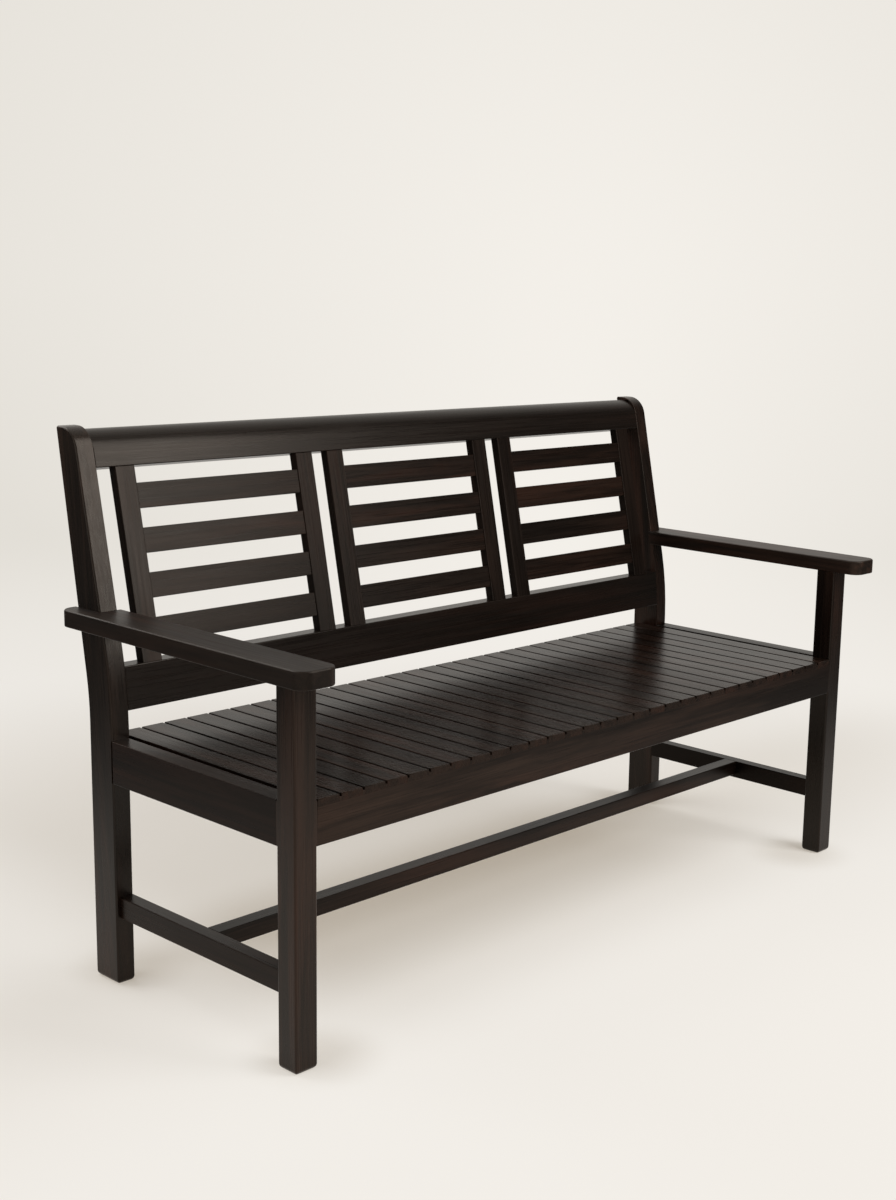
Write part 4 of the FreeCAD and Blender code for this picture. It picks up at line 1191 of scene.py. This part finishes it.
def floor_shadow(nodes, place, reach):
    """How far the shadow shows: most beneath the bench and close to its feet."""
    look = studio()
    across = nodes.vectors("DOT_PRODUCT", place, (1.0, 0.0, 0.0))
    back = nodes.vectors("DOT_PRODUCT", place, (0.0, 1.0, 0.0))
    beneath = nodes.product(
        nodes.ranged(back, *SHADOW_FRONT, look.front_shadow, look.shadow),
        nodes.ranged(across, *SHADOW_LEFT, LEFT_END, 1.0),
        nodes.ranged(back, *SHADOW_BACK, 1.0, BACK_END),
        nodes.ranged(across, *SHADOW_RIGHT, 1.0, RIGHT_END))
    from_foot = nodes.vectors("DISTANCE", nodes.vectors("ABSOLUTE", place), FOOT)
    close = nodes.ranged(from_foot, *FOOT_REACH, look.foot_shadow, 0.0)
    deeper = nodes.product(close, nodes.numbers("SUBTRACT", look.shadow, beneath))
    return nodes.product(nodes.numbers("ADD", beneath, deeper),
                         nodes.ranged(reach, *SHADOW_REACH, 1.0, 0.0))


def make_world(backdrop):
    """A world that is the pale backdrop to the eye and to gloss, and an even soft light to the rest."""
    world = bpy.data.worlds.new("studio_light")
    world.use_nodes = True
    bpy.context.scene.world = world
    nodes = Nodes(world.node_tree)
    nodes.tree.nodes.clear()
    way = nodes.add("TexCoord").outputs["Generated"]
    tone = nodes.add("Group", {"Direction": way}, node_tree=backdrop).outputs["Color"]
    side = nodes.vectors("DOT_PRODUCT", way, RIGHT)
    # The lacquer mirrors the backdrop with painted shade at the sides
    seen = nodes.add("Background", {"Color": shaded_in_reflections(nodes, side, SKY_REFLECTION_SHADE, tone)})
    soft = nodes.add("Background", {"Color": SKY_COLOUR, "Strength": studio().sky})
    light = nodes.add("MixShader", {0: shown_mask(nodes), 1: soft.outputs[0], 2: seen.outputs[0]})
    nodes.add("OutputWorld", {"Surface": light.outputs[0]})


class BENCH_OT_studio(Operator):
    """Build the pale floor, the backdrop light and the lamps."""

    bl_idname = "bench.studio"
    bl_label = "Studio"

    def execute(self, context):
        context.scene.view_settings.view_transform = "Standard"
        backdrop = make_backdrop_group()
        make_floor(backdrop)
        make_world(backdrop)
        for lamp in LAMPS:
            make_lamp(*lamp)
        return {"FINISHED"}


class BENCH_OT_camera(Operator):
    """Stand the camera where the photograph was taken."""

    bl_idname = "bench.camera"
    bl_label = "Camera"

    def execute(self, context):
        look = studio()
        yaw, pitch, roll = look.yaw, look.pitch, look.roll
        ahead = Vector((-math.sin(yaw) * math.cos(pitch), math.cos(yaw) * math.cos(pitch), math.sin(pitch)))
        level = Vector((math.cos(yaw), math.sin(yaw), 0.0))
        upright = level.cross(ahead)
        right = level * math.cos(roll) + upright * math.sin(roll)
        up = upright * math.cos(roll) - level * math.sin(roll)
        turned = Matrix((right, up, -ahead)).transposed().to_4x4()
        lens = bpy.data.cameras.new("photograph_view")
        lens.lens = look.lens
        lens.sensor_width = SENSOR_WIDTH
        lens.shift_x, lens.shift_y = (shift / PICTURE_HEIGHT for shift in PICTURE_SHIFT)
        lens.clip_end = CLIP_END
        eye = bpy.data.objects.new("photograph_view", lens)
        eye.matrix_world = Matrix.Translation(Vector(look.camera)) @ turned
        context.scene.collection.objects.link(eye)
        context.scene.camera = eye
        return {"FINISHED"}


GROUPS = (("bench_shapes", BenchShapes), ("bench_edges", BenchEdges), ("bench_finish", BenchFinish),
          ("bench_studio", BenchStudio))
OPERATORS = (
    BENCH_OT_finishes, BENCH_OT_front_legs, BENCH_OT_rear_posts, BENCH_OT_arms, BENCH_OT_seat_rails,
    BENCH_OT_seat_slats, BENCH_OT_bearer, BENCH_OT_slat_screws, BENCH_OT_stretchers, BENCH_OT_crest_rail,
    BENCH_OT_lower_back_rail, BENCH_OT_back_stiles, BENCH_OT_back_slats, BENCH_OT_studio, BENCH_OT_camera,
)


class BENCH_PT_panel(Panel):
    """Lists the bench's settings and the steps that build it."""

    bl_idname = "BENCH_PT_panel"
    bl_label = "Slat bench"
    bl_space_type = "VIEW_3D"
    bl_region_type = "UI"
    bl_category = "Bench"

    def draw(self, context):
        layout = self.layout
        for name, kind in GROUPS:
            column = layout.column(align=True)
            for setting in kind.__annotations__:
                column.prop(getattr(context.scene, name), setting)
        for operator in OPERATORS:
            layout.operator(operator.bl_idname)


def register():
    """Register the settings, operators and panel."""
    for name, kind in GROUPS:
        bpy.utils.register_class(kind)
        setattr(bpy.types.Scene, name, PointerProperty(type=kind))
    for kind in (*OPERATORS, BENCH_PT_panel):
        bpy.utils.register_class(kind)


def unregister():
    """Take the panel, operators and settings away again."""
    for kind in (BENCH_PT_panel, *reversed(OPERATORS)):
        bpy.utils.unregister_class(kind)
    for name, kind in reversed(GROUPS):
        delattr(bpy.types.Scene, name)
        bpy.utils.unregister_class(kind)


def main():
    """Build everything by its operators."""
    register()
    for operator in OPERATORS:
        area, name = operator.bl_idname.split(".")
        getattr(getattr(bpy.ops, area), name)()


if __name__ == "__main__":
    main()
